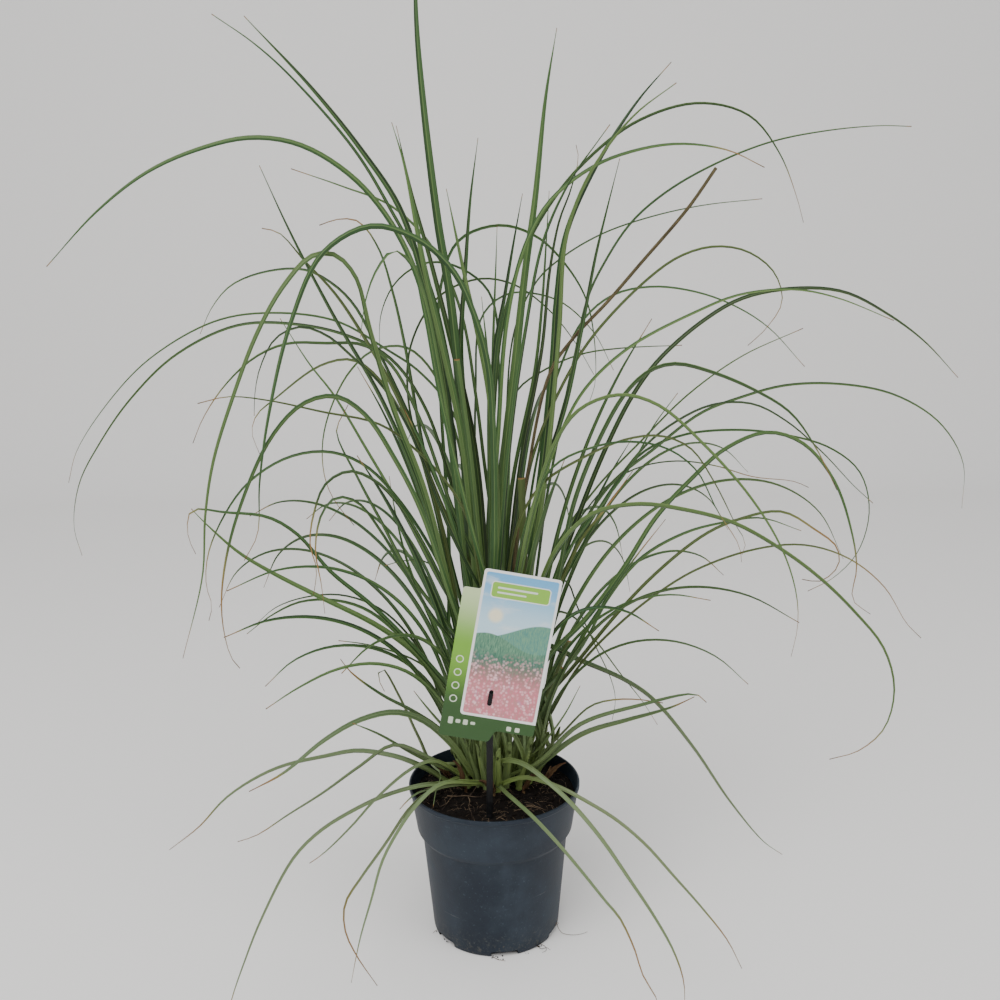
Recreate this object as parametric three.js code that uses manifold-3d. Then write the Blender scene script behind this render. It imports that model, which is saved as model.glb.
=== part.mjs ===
// A clump of pampas grass in a round nursery pot, with its soil, a picture label and the label's stake.
// Millimetres, +Z up. The origin is the centre of the pot's underside, and -Y is the front.
import * as THREE from 'three';
import { mergeVertices } from 'three/addons/utils/BufferGeometryUtils.js';
import Module from 'manifold-3d';

// Pot: outside radius at each height, from the foot up
const potHeight = 155;
const potRimRadius = 85.5;
const potLipRadius = 84.2;
const potLipDrop = 5;
const potLipEdge = 0.8;
const potBandBottomRadius = 78;
const potBandBottom = 109;
const potShoulderRadius = 73;
const potShoulder = 103.5;
const potFootRadius = 64;
const potFootHeight = 4;
const potBaseRadius = 63;
const potWall = 2;
const potFloor = 4;
const potSides = 40;
const drainNotches = 6;
const drainNotchWidth = 26;
const drainNotchHeight = 5.5;
const drainNotchDepth = 7;
const drainNotchTurn = -1.44;

// Soil: filled to a little below the rim, uneven, highest round the crown
const soilTop = 141;
const soilGap = 0.4;
const soilWallGap = 0.6;
const soilRelief = 1.6;
const soilMound = 2;
const soilLumps = { acrossX: 9, acrossY: 11, turnX: 1.3, turnY: -0.7 };
const soilRings = 4;
const soilSides = 30;

// Crown: the ellipse in which the shoots stand, in even spiral order
const crown = { x: 4, y: 30, halfWidth: 42, halfDepth: 34, shoots: 38 };
const goldenAngle = Math.PI * (3 - Math.sqrt(5));
const shootRadius = 3.7;
const shootTopRadius = 2.3;
const shootSides = 6;
const shootRoot = 14;
const shootHoleGap = 0.45;
const shootCollar = 6;
const sheathOverNeck = 4;
const leavesPerShoot = 5;
const crowding = 1.5; // distance that each leaf already in a shoot counts for
const neckLow = 10;
const neckHigh = 48;
const neckShare = 0.25; // of the height of the leaf's first drawn point over the soil
const neckRoom = 12;
const crownSpread = 85;
const wanted = { leanBack: 0.8, within: 0.95, leastRise: 60, depthSpan: 150 };

// Leaf blades: a flat top and a keel below
const keelAtBase = 1.5;
const keelAtTip = 0.9;
const tipWidth = 1.5;
const baseWidth = 4.6;
const bladeShape = { fullAt: 0.2, taperFrom: 0.12, narrowed: 0.5, closing: 8, edgeRise: 0.4 };
const bladeBreadth = { upright: 1.1, arching: 0.78, from: 0.08, to: 0.3 }; // by how far sideways the tip is
const bladeTwist = { foot: 0.45, least: 0.3, sideways: 1.5, even: 0.6, steady: 0.1 };
const stationRule = { start: 4.5, perBend: 2.1, least: 5, most: 10, finer: 4 };
const leafOffset = 1;
const unionTolerance = 0.12;
const depthPower = 1.2;

// How leaves are kept clear of each other, the pot, the soil and the stake
const leafClearance = 0.6;
const bladeDepth = 1.2;
const bladeMargin = 1;
const potClearance = 4.5;
const soilClearance = 2;
const stakeClearance = 0.5;
const clearing = { rounds: 160, samples: 5, holderShare: 0.5, own: 0.7, beside: 0.2, most: 3 };

// Label: a flat card with a taller picture panel and a side tab, hung by a slot on the stake's tongue
const label = { x: 17.2, y: -56, z: 313, turn: -0.183, thickness: 0.8 };
const labelRight = 36;
const labelTop = 71;
const labelPanelLeft = -35.5;
const labelTabTop = 51;
const labelLeft = -52;
const labelTabBottom = -94.5;
const labelPanelBottom = -82.5;
const labelNotchLeft = -5;
const labelNotchRight = 0;
const labelCorner = 4;
const labelMargin = 8;
const labelSlot = { x: -1.9, z: 264.5, width: 4.4, height: 16 };
const stake = {
  x: -4.4,
  lean: 0.016,
  foot: 96,
  top: 284,
  width: 6.2,
  thickness: 2.4,
  pointLength: 14,
  pointShare: 0.3,
};
const stakeGap = 0.4;
const tongue = { width: 3.2, height: 10, reach: 2 };

// The leaves are drawn on the upright plane through the pot's axis, as they look from this point in front.
// Each is then set at its own depth along the line of sight.
const eye = new THREE.Vector3(9.4, -931.6, 624);
const upward = new THREE.Vector3(0, 0, 1);

// Usual width of the blade, depth (Y) of its tip, and X, Z of the points that it passes, from low to tip.
// A cut leaf ends blunt, a dry one stands by itself, and a lower power sends a leaf forward sooner.
const drawnLeaves = [
  // tall ones that rise past the rest on the left
  [11, 40, [-22, 420, -33, 620, -44, 700, -54, 800, -58, 870, -56, 958]],
  [6, 90, [-20, 420, -33, 545, -52, 640, -85, 707, -115, 758, -169, 821, -200, 849, -235, 873]],
  [10, 55, [-25, 420, -38, 545, -56, 640, -78, 710, -109, 758, -150, 810, -207, 871]],
  [8.5, -50, [-28, 420, -45, 560, -62, 645, -85, 696, -118, 736, -163, 764, -207, 771, -257, 761,
    -303, 742, -350, 709, -399, 662]],
  [5, 120, [0, 420, -12, 540, -25, 620, -50, 676, -85, 711, -127, 728, -173, 744]],
  [6.5, -40, [-28, 300, -60, 430, -97, 532, -142, 617, -177, 690, -201, 747]],
  [5.5, 30, [-35, 330, -84, 432, -115, 490, -145, 544, -165, 571, -190, 613]],
  // broad arching ones on the left, some to the front
  [8.5, -150, [-35, 330, -62, 450, -90, 532, -108, 600, -120, 650, -138, 669, -158, 668, -185, 642,
    -212, 599, -239, 538, -260, 481, -271, 430, -278, 370, -303, 287]],
  [9, -130, [0, 300, 4, 480, 0, 568, -13, 617, -30, 653, -60, 681, -103, 694, -148, 671, -181, 608,
    -206, 523, -218, 460, -223, 410, -237, 385]],
  [6, 90, [-40, 430, -75, 523, -100, 580, -121, 623, -140, 643, -165, 656, -200, 655,
    -233, 643, -252, 623, -264, 600]],
  [7, 30, [-45, 430, -85, 540, -116, 599, -139, 635, -165, 664, -187, 689, -202, 693]],
  [4, 150, [-10, 430, -33, 523, -63, 562, -94, 584, -139, 610, -200, 618, -250, 611,
    -312, 578, -355, 537, -388, 492, -398, 463]],
  [5, 60, [-30, 430, -60, 530, -90, 575, -130, 597, -180, 608, -230, 607, -288, 581,
    -333, 541, -366, 499, -388, 462, -397, 420, -392, 392]],
  [5.5, -30, [-35, 430, -65, 520, -90, 570, -115, 588, -150, 590, -185, 590, -215, 578,
    -245, 552, -267, 522, -278, 499]],
  [5, -90, [-40, 420, -75, 510, -100, 552, -125, 577, -148, 597, -172, 605, -195, 595,
    -211, 568, -217, 545, -219, 524]],
  [4.5, -80, [-5, 330, -21, 420, -42, 458, -72, 491, -103, 514, -157, 527, -205, 538, -242, 542, -271, 536]],
  [7, -170, [-35, 330, -66, 432, -90, 483, -115, 523, -142, 541, -172, 535, -203, 505,
    -236, 441, -256, 379, -262, 330, -256, 288, -248, 276]],
  [5, -60, [-30, 330, -55, 390, -88, 444, -118, 476, -151, 489, -190, 484, -230, 459,
    -258, 421, -272, 388, -275, 360, -271, 340, -275, 325]],
  [5.5, 20, [-30, 300, -80, 372, -104, 421, -124, 462, -143, 509, -136, 524, -131, 533]],
  [4.5, 110, [-10, 380, -30, 500, -50, 560, -75, 585, -105, 583, -127, 565, -145, 535,
    -156, 500, -156, 466, -148, 443, -130, 418]],
  [5.5, -70, [-30, 320, -60, 390, -88, 440, -109, 462, -132, 471, -155, 459, -168, 430,
    -173, 400, -168, 375, -172, 350]],
  [5.5, -120, [-25, 280, -60, 330, -85, 375, -105, 412, -127, 441, -146, 445, -160, 430,
    -168, 395, -164, 360, -162, 331]],
  // low ones on the left
  [7, -60, [-20, 215, -54, 264, -84, 303, -118, 340, -154, 372, -185, 410, -212, 427,
    -251, 432, -284, 434, -289, 410, -283, 392]],
  [8.5, -20, [-22, 190, -48, 246, -72, 285, -109, 316, -169, 349, -212, 373, -242, 393, -270, 420, -284, 436]],
  [6, 50, [-25, 190, -63, 270, -90, 307, -121, 334, -151, 344, -185, 343, -215, 329, -239, 311]],
  [4, 100, [-15, 200, -50, 255, -78, 303, -109, 335, -145, 349, -182, 347, -210, 337, -228, 322]],
  [5.5, -40, [-30, 175, -51, 207, -78, 228, -109, 246, -139, 270, -149, 284]],
  [5.5, -90, [-20, 165, -54, 241, -84, 270, -118, 279, -154, 273, -193, 254, -225, 233]],
  [5, 0, [-62, 165, -75, 200, -92, 243, -109, 274, -113, 266, -107, 250]],
  [3.5, 60, [-15, 200, -50, 258, -72, 279, -97, 291, -124, 299, -150, 303]],
  [8.5, -70, [-25, 165, -45, 195, -70, 219, -97, 228, -133, 220, -169, 199, -212, 164, -247, 145]],
  [7, -30, [-40, 150, -72, 166, -109, 181, -138, 187, -169, 182, -212, 172,
    -242, 158, -272, 137, -300, 107, -332, 82]],
  [5.5, -90, [-30, 155, -66, 180, -100, 194, -136, 170, -172, 143, -209, 119, -242, 97, -262, 90]],
  [5.5, -40, [-28, 150, -55, 170, -84, 185, -115, 205, -140, 217]],
  [4.5, -120, [-30, 160, -60, 176, -82, 168, -118, 137, -145, 106, -175, 76, -190, 65]],
  [4.5, 10, [-15, 165, -45, 205, -69, 237, -78, 250]],
  [3.5, 40, [-30, 330, -60, 380, -80, 383, -102, 378]],
  [4.5, 10, [-50, 300, -80, 380, -92, 440, -95, 465]],
  // over the rim to the front, left of the label
  [5.5, -250, [-25, 152, -66, 155, -105, 141, -142, 123, -178, 100, -206, 71,
    -243, 2, -265, -51, -279, -89, -291, -132]],
  [5, -190, [-20, 146, -55, 143, -85, 120, -110, 87, -139, 47, -156, 18,
    -157, -12, -147, -40, -126, -77], { power: 0.84 }],
  [5.5, -180, [-22, 152, -55, 150, -80, 127, -100, 97, -116, 65, -128, 24,
    -141, -19, -150, -58, -153, -73], { power: 0.84 }],
  [4, -60, [-25, 150, -57, 145, -80, 133, -96, 119]],
  [3.5, -50, [-20, 146, -45, 158, -58, 145, -62, 126]],
  // over the rim to the front, right of the label
  [5, -270, [2, 140, 14, 138, 40, 112, 67, 80, 92, 47, 116, 14, 127, 0, 143, -36,
    153, -69, 168, -98, 172, -126], { power: 0.6 }],
  [6, -250, [8, 175, 28, 172, 50, 155, 79, 126, 107, 90, 137, 43, 164, -1, 185, -42, 196, -78, 197, -122]],
  [5.5, -200, [10, 152, 32, 158, 58, 149, 88, 131, 122, 109, 152, 82, 182, 46, 213, 8, 240, -29, 256, -62]],
  // upright ones in the middle
  [9, -10, [-8, 330, -24, 496, -43, 593, -57, 659, -72, 746, -82, 782]],
  [8, 50, [0, 330, -15, 500, -36, 600, -50, 660, -66, 722, -78, 779]],
  [8, -20, [8, 330, 2, 526, -7, 587, -19, 644, -35, 725]],
  [7.5, 60, [-12, 330, -20, 500, -25, 580, -19, 660, -14, 714, -6, 768]],
  [10, -10, [5, 330, 14, 480, 24, 562, 35, 653, 44, 714, 54, 801, 64, 858]],
  [5, 90, [2, 330, 2, 480, 5, 590, 8, 650, 10, 693]],
  [7, 20, [0, 330, 2, 500, 7, 585, 16, 630, 24, 674, 33, 720]],
  [6, -10, [-2, 330, 0, 500, 0, 570, -5, 630]],
  [5, -20, [-5, 330, -18, 480, -29, 574], { end: 'cut' }],
  [6.5, 0, [20, 200, 29, 330, 30, 400, 30, 462], { end: 'cut' }],
  // tall ones on the right
  [10, 30, [28, 330, 50, 480, 60, 568, 64, 629, 72, 684, 97, 740, 134, 796, 164, 829]],
  [7, -40, [35, 330, 55, 480, 66, 600, 72, 680, 86, 722, 105, 754, 134, 787, 169, 812]],
  [8, 90, [-5, 330, 2, 480, 11, 590, 22, 636, 38, 678, 60, 714, 88, 746, 134, 780,
    188, 795, 234, 784, 262, 752, 279, 714, 286, 692]],
  [8, -30, [0, 330, 8, 500, 18, 610, 35, 675, 58, 714, 97, 743, 134, 756, 173, 761, 216, 755, 249, 740]],
  [5.5, 100, [30, 330, 60, 480, 80, 575, 92, 628, 107, 659, 131, 694, 162, 720,
    204, 743, 252, 761, 300, 770, 350, 774, 378, 773]],
  [4.5, 150, [5, 330, 15, 500, 25, 600, 46, 644, 70, 665, 104, 684, 146, 698, 195, 708, 248, 713]],
  [4, -20, [20, 330, 38, 480, 58, 562, 80, 593, 110, 624, 140, 658,
    182, 706, 206, 740], { end: 'cut', dry: true }],
  [6.5, 30, [15, 330, 40, 480, 64, 541, 94, 590, 143, 641, 176, 664,
    207, 672, 237, 667, 262, 648, 270, 622, 256, 598, 240, 583]],
  [6, 80, [20, 330, 45, 480, 65, 560, 88, 608, 115, 630, 149, 637, 186, 633, 222, 621, 257, 600, 293, 563]],
  [6.5, -20, [25, 330, 48, 450, 72, 530, 87, 602, 99, 665, 108, 702, 120, 749]],
  [5.5, 60, [10, 330, 30, 480, 50, 583, 57, 650, 66, 696, 76, 722, 83, 750, 81, 761]],
  [5.5, 100, [8, 330, 22, 460, 43, 560, 50, 620, 55, 690, 57, 722]],
  [5.5, -80, [5, 330, 20, 500, 35, 600, 52, 680, 76, 731, 98, 761, 111, 778]],
  // long arching ones on the right
  [10, 30, [30, 250, 55, 340, 86, 430, 110, 490, 134, 538, 158, 571, 198, 606,
    234, 626, 283, 634, 326, 630, 365, 611, 402, 585, 436, 551]],
  [7, -60, [20, 330, 45, 440, 70, 511, 92, 548, 131, 583, 191, 614,
    231, 629, 280, 633, 320, 625, 373, 604]],
  [4.5, 120, [0, 330, 10, 480, 25, 542, 52, 563, 86, 577, 122, 582, 179, 584]],
  [4.5, 70, [25, 300, 60, 390, 100, 450, 143, 496, 185, 538, 234, 573, 290, 598]],
  [6, -20, [35, 300, 75, 390, 110, 440, 137, 478, 155, 511, 176, 540]],
  [10, -60, [35, 250, 60, 340, 80, 438, 104, 499, 128, 541, 150, 561, 173, 567,
    207, 559, 249, 541, 282, 520, 307, 487, 329, 446]],
  [6, 70, [35, 280, 75, 390, 113, 453, 155, 488, 198, 521, 234, 535,
    277, 546, 331, 546, 380, 535, 423, 508, 447, 470, 449, 427]],
  [8, -150, [20, 330, 40, 430, 62, 495, 85, 526, 122, 539, 158, 529, 203, 490,
    249, 438, 280, 388, 295, 345, 298, 312, 293, 281]],
  [5, -90, [15, 330, 35, 420, 60, 472, 97, 490, 131, 495, 167, 488, 195, 467, 216, 428, 238, 393, 241, 377]],
  [6, -50, [10, 330, 28, 420, 52, 457, 88, 480, 128, 497, 161, 500, 189, 488,
    212, 456, 235, 412, 244, 396, 241, 384]],
  [4, 110, [25, 300, 60, 380, 110, 452, 140, 470, 176, 476, 213, 471, 249, 460, 288, 455, 302, 449]],
  [9.5, -30, [35, 230, 55, 280, 92, 322, 128, 373, 158, 422, 191, 459, 222, 487,
    261, 502, 295, 491, 326, 455, 345, 406, 352, 370, 350, 338, 368, 323]],
  [5, 90, [45, 300, 90, 400, 140, 481, 179, 500, 228, 505, 276, 500,
    320, 487, 350, 463, 361, 425, 352, 385, 330, 360, 306, 347]],
  [5, 20, [40, 300, 85, 400, 143, 487, 176, 514, 210, 529, 246, 529,
    279, 512, 314, 482, 345, 450, 364, 433]],
  [8, 40, [28, 180, 50, 225, 75, 280, 107, 334, 143, 381, 185, 406, 222, 416, 258, 420, 297, 407]],
  [5, 10, [25, 170, 55, 225, 86, 276, 128, 320, 161, 347, 198, 370, 252, 389,
    300, 393, 344, 379, 380, 350, 404, 313, 419, 298]],
  [7.5, -150, [15, 250, 40, 340, 65, 395, 97, 426, 140, 435, 185, 429, 231, 416, 277, 390,
    317, 360, 353, 325, 383, 288, 396, 246, 389, 205, 365, 181, 336, 172]],
  [7, 30, [20, 170, 50, 225, 80, 270, 113, 316, 158, 366, 204, 404, 234, 418, 277, 426,
    310, 408, 332, 390, 334, 372, 318, 357, 300, 359]],
  [6.5, -20, [30, 280, 60, 345, 86, 400, 110, 432, 135, 467]],
  [6, -10, [25, 190, 60, 250, 86, 288, 110, 337, 134, 376, 167, 420]],
  // low ones on the right
  [7, -60, [22, 155, 45, 175, 87, 213, 146, 232, 195, 243, 204, 241, 211, 234]],
  [8, -40, [22, 150, 50, 178, 86, 203, 131, 216, 176, 229, 199, 240]],
  [8.5, 80, [12, 220, 28, 280, 52, 295, 85, 280, 131, 258, 158, 238, 198, 188, 238, 127, 274, 82, 293, 68]],
  [3.5, 110, [10, 230, 38, 315, 70, 329, 98, 303, 125, 266, 149, 234, 163, 211]],
  [3, 140, [8, 250, 40, 345, 70, 362, 84, 332, 101, 294, 117, 258, 121, 238, 118, 217]],
  [7, 20, [20, 160, 40, 210, 62, 262, 75, 300], { end: 'cut' }],
  [6, 0, [22, 155, 40, 205, 69, 272], { end: 'cut' }],
  [3.5, -20, [25, 155, 46, 189, 70, 222, 86, 253]],
  [3.5, -30, [22, 150, 46, 181, 70, 206, 97, 232, 119, 238, 143, 238, 168, 234]],
  // thin ones that arch over at the back
  [5, 160, [-40, 420, -45, 560, -42, 640, -25, 680, 12, 693, 45, 683, 70, 660, 90, 628,
    98, 592, 99, 550, 94, 533]],
  [4, 170, [5, 420, 10, 560, 3, 632, -24, 656, -54, 661, -81, 646, -97, 617, -100, 575]],
  [4, 190, [-50, 420, -75, 540, -70, 590, -45, 630, -8, 646, 24, 641, 55, 619, 79, 590, 98, 558]],
  [4, 140, [-15, 420, -12, 540, -5, 612, 18, 632, 45, 632, 70, 623, 98, 596, 116, 562]],
  [6, -90, [-20, 420, -45, 540, -58, 620, -68, 660, -84, 672, -100, 655, -111, 628, -117, 595]],
  [5.5, 40, [-30, 330, -60, 470, -98, 552, -124, 574, -154, 570, -198, 540, -217, 524, -222, 508, -216, 488]],
  [5.5, 60, [-25, 330, -60, 480, -77, 590, -86, 635, -98, 675, -115, 698, -133, 700, -150, 695]],
];

// Leaves that fill the clump, mostly at the back, each an even arch out of the crown:
// how many, where they point (degrees from +X towards +Y), how long, and how far they bow over
const fillLeaves = [
  { count: 18, from: 18, to: 162, shortest: 360, longest: 640, bowed: 2.3 },
  { count: 8, from: 0, to: 360, shortest: 330, longest: 560, bowed: 0.5 },
  { count: 4, from: -165, to: -120, shortest: 300, longest: 420, bowed: 1.9 },
  { count: 4, from: -58, to: -15, shortest: 300, longest: 420, bowed: 1.9 },
];
const fillShape = {
  lean: [0.06, 0.26],
  bowSpread: [0.75, 1.25],
  width: [5, 9],
  outerReach: 0.85,
  innerReach: 0.4,
};
const fillSeed = 4127;
const arch = { steps: 9, power: 1.7 };

// Dry things round the crown's edge: old sheaths, and one leaf that stands by itself
const dryLeafPlace = { reach: 1.17, turn: 0.7 };
const drySheaths = {
  count: 5,
  reach: 1.2,
  firstTurn: -2.9,
  turnStep: 0.62,
  width: 6,
  shortest: 34,
  longest: 62,
  lean: [0.2, 0.5],
  bow: 0.8,
};

const wasm = await Module();
wasm.setup();

// Even draws from 0 to 1, the same at every run
function makeDraw(seed) {
  let state = seed;
  return () => {
    state = (state * 16807) % 2147483647;
    return state / 2147483647;
  };
}

function solidOf(geometry) {
  const bare = geometry.clone();
  bare.deleteAttribute('normal');
  bare.deleteAttribute('uv');
  const merged = mergeVertices(bare, 1e-4);
  return new wasm.Manifold(new wasm.Mesh({
    numProp: 3,
    vertProperties: merged.attributes.position.array,
    triVerts: new Uint32Array(merged.index.array),
  }));
}

function geometryOf(solid) {
  const mesh = solid.getMesh();
  const geometry = new THREE.BufferGeometry();
  geometry.setAttribute('position', new THREE.BufferAttribute(mesh.vertProperties, 3));
  geometry.setIndex(new THREE.BufferAttribute(mesh.triVerts, 1));
  geometry.computeVertexNormals();
  return geometry;
}

// A closed skin over rings of equal size, with flat ends, faces out. Every diagonal runs from a lower
// numbered side to a higher one, so that the top and the underside of a thin twisted blade are split alike.
function skin(rings) {
  const sides = rings[0].length;
  const last = (rings.length - 1) * sides;
  const triangles = [];
  for (let ring = 0; ring < last; ring += sides) {
    const above = ring + sides;
    for (let side = 0; side < sides - 1; side++) {
      const next = side + 1;
      triangles.push(ring + side, ring + next, above + next);
      triangles.push(ring + side, above + next, above + side);
    }
    triangles.push(above - 1, ring, above + sides - 1);
    triangles.push(ring, above, above + sides - 1);
  }
  for (let side = 1; side < sides - 1; side++) {
    triangles.push(0, side + 1, side);
    triangles.push(last, last + side, last + side + 1);
  }
  const geometry = new THREE.BufferGeometry().setFromPoints(rings.flat());
  geometry.setIndex(triangles);
  return geometry;
}

function solidFromRings(rings) {
  const solid = solidOf(skin(rings));
  if (solid.volume() > 0) return solid;
  return solidOf(skin(rings.map((ring) => [...ring].reverse())));
}

function meshNode(name, geometry, colour, roughness) {
  const material = new THREE.MeshStandardMaterial({ color: colour, roughness, metalness: 0 });
  const mesh = new THREE.Mesh(geometry, material);
  mesh.name = name;
  return mesh;
}

// ---- crown ----

function crownPlace(reach, turn) {
  return new THREE.Vector3(
    crown.x + crown.halfWidth * reach * Math.cos(turn),
    crown.y + crown.halfDepth * reach * Math.sin(turn),
    soilTop,
  );
}

// ---- leaf lines ----

// The point at depth y on the line of sight through (x, 0, z)
function atDepth(x, z, y) {
  const along = (y - eye.y) / -eye.y;
  return new THREE.Vector3(eye.x + (x - eye.x) * along, y, eye.z + (z - eye.z) * along);
}

// How far along the leaf each drawn point is, from 0 at the soil to 1 at the tip
function shares(path) {
  const lengths = [0];
  for (let i = 2; i < path.length; i += 2) {
    lengths.push(lengths.at(-1) + Math.hypot(path[i] - path[i - 2], path[i + 1] - path[i - 1]));
  }
  const total = lengths.at(-1) + path[1] - soilTop;
  return lengths.map((length) => Math.max(length + path[1] - soilTop, 0) / total);
}

// A drawn leaf as points in space, above a foot
function drawnPoints([, tipDepth, path, { power = depthPower } = {}], foot) {
  return shares(path).map((share, i) =>
    atDepth(path[2 * i], path[2 * i + 1], foot.y + (tipDepth - foot.y) * share ** power));
}

// Where a drawn leaf would like to stand in the crown
function wantedFoot([, tipDepth, path]) {
  const slope = (path[2] - path[0]) / Math.max(path[3] - path[1], wanted.leastRise);
  const x = path[0] - slope * (path[1] - soilTop) * wanted.leanBack;
  const halfWidth = crown.halfWidth * wanted.within;
  return {
    x: THREE.MathUtils.clamp(x, crown.x - halfWidth, crown.x + halfWidth),
    y: crown.y + crown.halfDepth * THREE.MathUtils.clamp(tipDepth / wanted.depthSpan, -1, 1),
  };
}

// An even arch: it leaves the crown steeply and bows over more and more towards the tip
function archPoints(foot, heading, length, lean, bow) {
  const points = [];
  const at = foot.clone();
  const step = length / arch.steps;
  for (let i = 1; i <= arch.steps; i++) {
    const tilt = lean + bow * ((i - 0.5) / arch.steps) ** arch.power;
    at.x += Math.sin(tilt) * Math.cos(heading) * step;
    at.y += Math.sin(tilt) * Math.sin(heading) * step;
    at.z += Math.cos(tilt) * step;
    points.push(at.clone());
  }
  return points.slice(1);
}

function sidewaysShare(points) {
  const tip = points.at(-1);
  return Math.abs(tip.x) / (Math.abs(tip.x) + tip.z);
}

// Blades that stand upright are broader than usual, and those that arch away sideways are narrower
function bladeWidth(usual, points) {
  const { upright, arching, from, to } = bladeBreadth;
  const share = THREE.MathUtils.mapLinear(sidewaysShare(points), from, to, 0, 1);
  return usual * THREE.MathUtils.lerp(upright, arching, THREE.MathUtils.clamp(share, 0, 1));
}

// The free shoot nearest to a place
function nearestShoot(shoots, place) {
  const free = shoots.filter((shoot) => shoot.leaves.length < leavesPerShoot);
  const away = (shoot) => Math.hypot(shoot.foot.x - place.x, shoot.foot.y - place.y)
    + shoot.leaves.length * crowding;
  return free.reduce((best, shoot) => (away(shoot) < away(best) ? shoot : best));
}

function growShoots() {
  const shoots = Array.from({ length: crown.shoots }, (_, i) => (
    { foot: crownPlace(Math.sqrt((i + 0.5) / crown.shoots), i * goldenAngle), leaves: [] }
  ));
  const dry = { foot: crownPlace(dryLeafPlace.reach, dryLeafPlace.turn), leaves: [] };
  for (const row of drawnLeaves) {
    const extra = row[3] ?? {};
    const shoot = extra.dry ? dry : nearestShoot(shoots, wantedFoot(row));
    const points = drawnPoints(row, shoot.foot);
    shoot.leaves.push({ width: bladeWidth(row[0], points), end: extra.end, points });
  }
  const draw = makeDraw(fillSeed);
  for (const { count, from, to, shortest, longest, bowed } of fillLeaves) {
    for (let i = 0; i < count; i++) {
      const degrees = from + ((to - from) * (i + draw())) / count;
      const heading = THREE.MathUtils.degToRad(degrees);
      const length = shortest + (longest - shortest) * draw();
      const lean = THREE.MathUtils.lerp(...fillShape.lean, draw());
      const bow = bowed * THREE.MathUtils.lerp(...fillShape.bowSpread, draw());
      const reach = bowed > 1 ? fillShape.outerReach : fillShape.innerReach;
      const shoot = nearestShoot(shoots, crownPlace(reach, heading));
      const usual = THREE.MathUtils.lerp(...fillShape.width, draw());
      const points = archPoints(shoot.foot, heading, length, lean, bow);
      shoot.leaves.push({ width: bladeWidth(usual, points), points });
    }
  }
  return [...shoots.filter((shoot) => shoot.leaves.length > 0), dry];
}

// Shoots lean away from the crown's middle, the outer ones most, so that none crosses another
function shootAxis({ foot }) {
  return new THREE.Vector3(foot.x - crown.x, foot.y - crown.y, crownSpread).normalize();
}

function neckHeight(leaf) {
  return THREE.MathUtils.clamp((leaf.points[0].z - soilTop) * neckShare, neckLow, neckHigh);
}

// ---- blades ----

// Turn of the blade about its own line at its foot and at its tip, so that faces and edges both show
function leafTwist(leaf, draw) {
  const side = draw() < 0.5 ? -1 : 1;
  const most = bladeTwist.least + bladeTwist.sideways * sidewaysShare(leaf.points);
  leaf.twist = [
    (2 * draw() - 1) * bladeTwist.foot,
    side * most * THREE.MathUtils.lerp(bladeTwist.even, 1, draw()),
  ];
}

function stationCount(leaf) {
  let bend = 0;
  const { points } = leaf;
  for (let i = 2; i < points.length; i++) {
    const before = points[i - 1].clone().sub(points[i - 2]);
    bend += before.angleTo(points[i].clone().sub(points[i - 1]));
  }
  const count = Math.round(stationRule.start + bend * stationRule.perBend);
  return THREE.MathUtils.clamp(count, stationRule.least, stationRule.most);
}

// The leaf's line: from inside the shoot's collar, out at its neck, then through its points
function leafLine(leaf, shoot) {
  const towards = leaf.points[0].clone().sub(shoot.foot).setZ(0).clampLength(0, leafOffset);
  const root = shoot.foot.clone().addScaledVector(upward, shootCollar).add(towards);
  const neck = root.clone().addScaledVector(shoot.axis, neckHeight(leaf) - shootCollar);
  const later = leaf.points.filter((point) => (
    point.distanceTo(neck) > neckRoom || point.z > neck.z + neckRoom
  ));
  const curve = new THREE.CatmullRomCurve3([root, neck, ...later], false, 'centripetal');
  const count = stationCount(leaf);
  const line = curve.getSpacedPoints(count * stationRule.finer);
  const start = line.findIndex((point) => point.z >= neck.z - 1);
  const rest = line.slice(start);
  const stations = [root, neck];
  for (let i = 1; i <= count; i++) {
    stations.push(rest[Math.round((i * (rest.length - 1)) / count)]);
  }
  return stations;
}

function tangentAt(stations, i) {
  const before = stations[Math.max(i - 1, 0)];
  const after = stations[Math.min(i + 1, stations.length - 1)];
  return after.clone().sub(before).normalize();
}

// Across and keel directions at each station. Before its own twist a blade lies square to the sight line,
// and where it points along that line it keeps the direction of the station before.
function bladeFrames(leaf) {
  const last = leaf.stations.length - 1;
  const square = new THREE.Vector3();
  leaf.frames = leaf.stations.map((station, i) => {
    const along = tangentAt(leaf.stations, i);
    const sight = station.clone().sub(eye).normalize();
    const crosswise = along.clone().cross(sight);
    if (crosswise.dot(square) < 0) crosswise.negate();
    square.multiplyScalar(bladeTwist.steady).add(crosswise);
    square.addScaledVector(along, -square.dot(along)).normalize();
    const turn = THREE.MathUtils.lerp(...leaf.twist, i / last);
    const across = square.clone().applyAxisAngle(along, turn);
    return { across, keel: along.clone().cross(across).normalize() };
  });
  const middle = leaf.frames[Math.floor(last / 2)].keel;
  if (middle.z > 0) leaf.frames.forEach(({ keel }) => keel.negate());
}

function halfWidthAt(leaf, share) {
  const base = Math.min(leaf.width, baseWidth);
  const swell = THREE.MathUtils.lerp(base, leaf.width, Math.min(share / bladeShape.fullAt, 1));
  if (leaf.end === 'cut') return swell / 2;
  const tapered = Math.max(share - bladeShape.taperFrom, 0) / (1 - bladeShape.taperFrom);
  const narrow = (1 - bladeShape.narrowed * tapered) * (1 - tapered ** bladeShape.closing);
  return Math.max(swell * narrow, tipWidth) / 2;
}

function keelDepthAt(share) {
  return keelAtBase + (keelAtTip - keelAtBase) * share;
}

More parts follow.
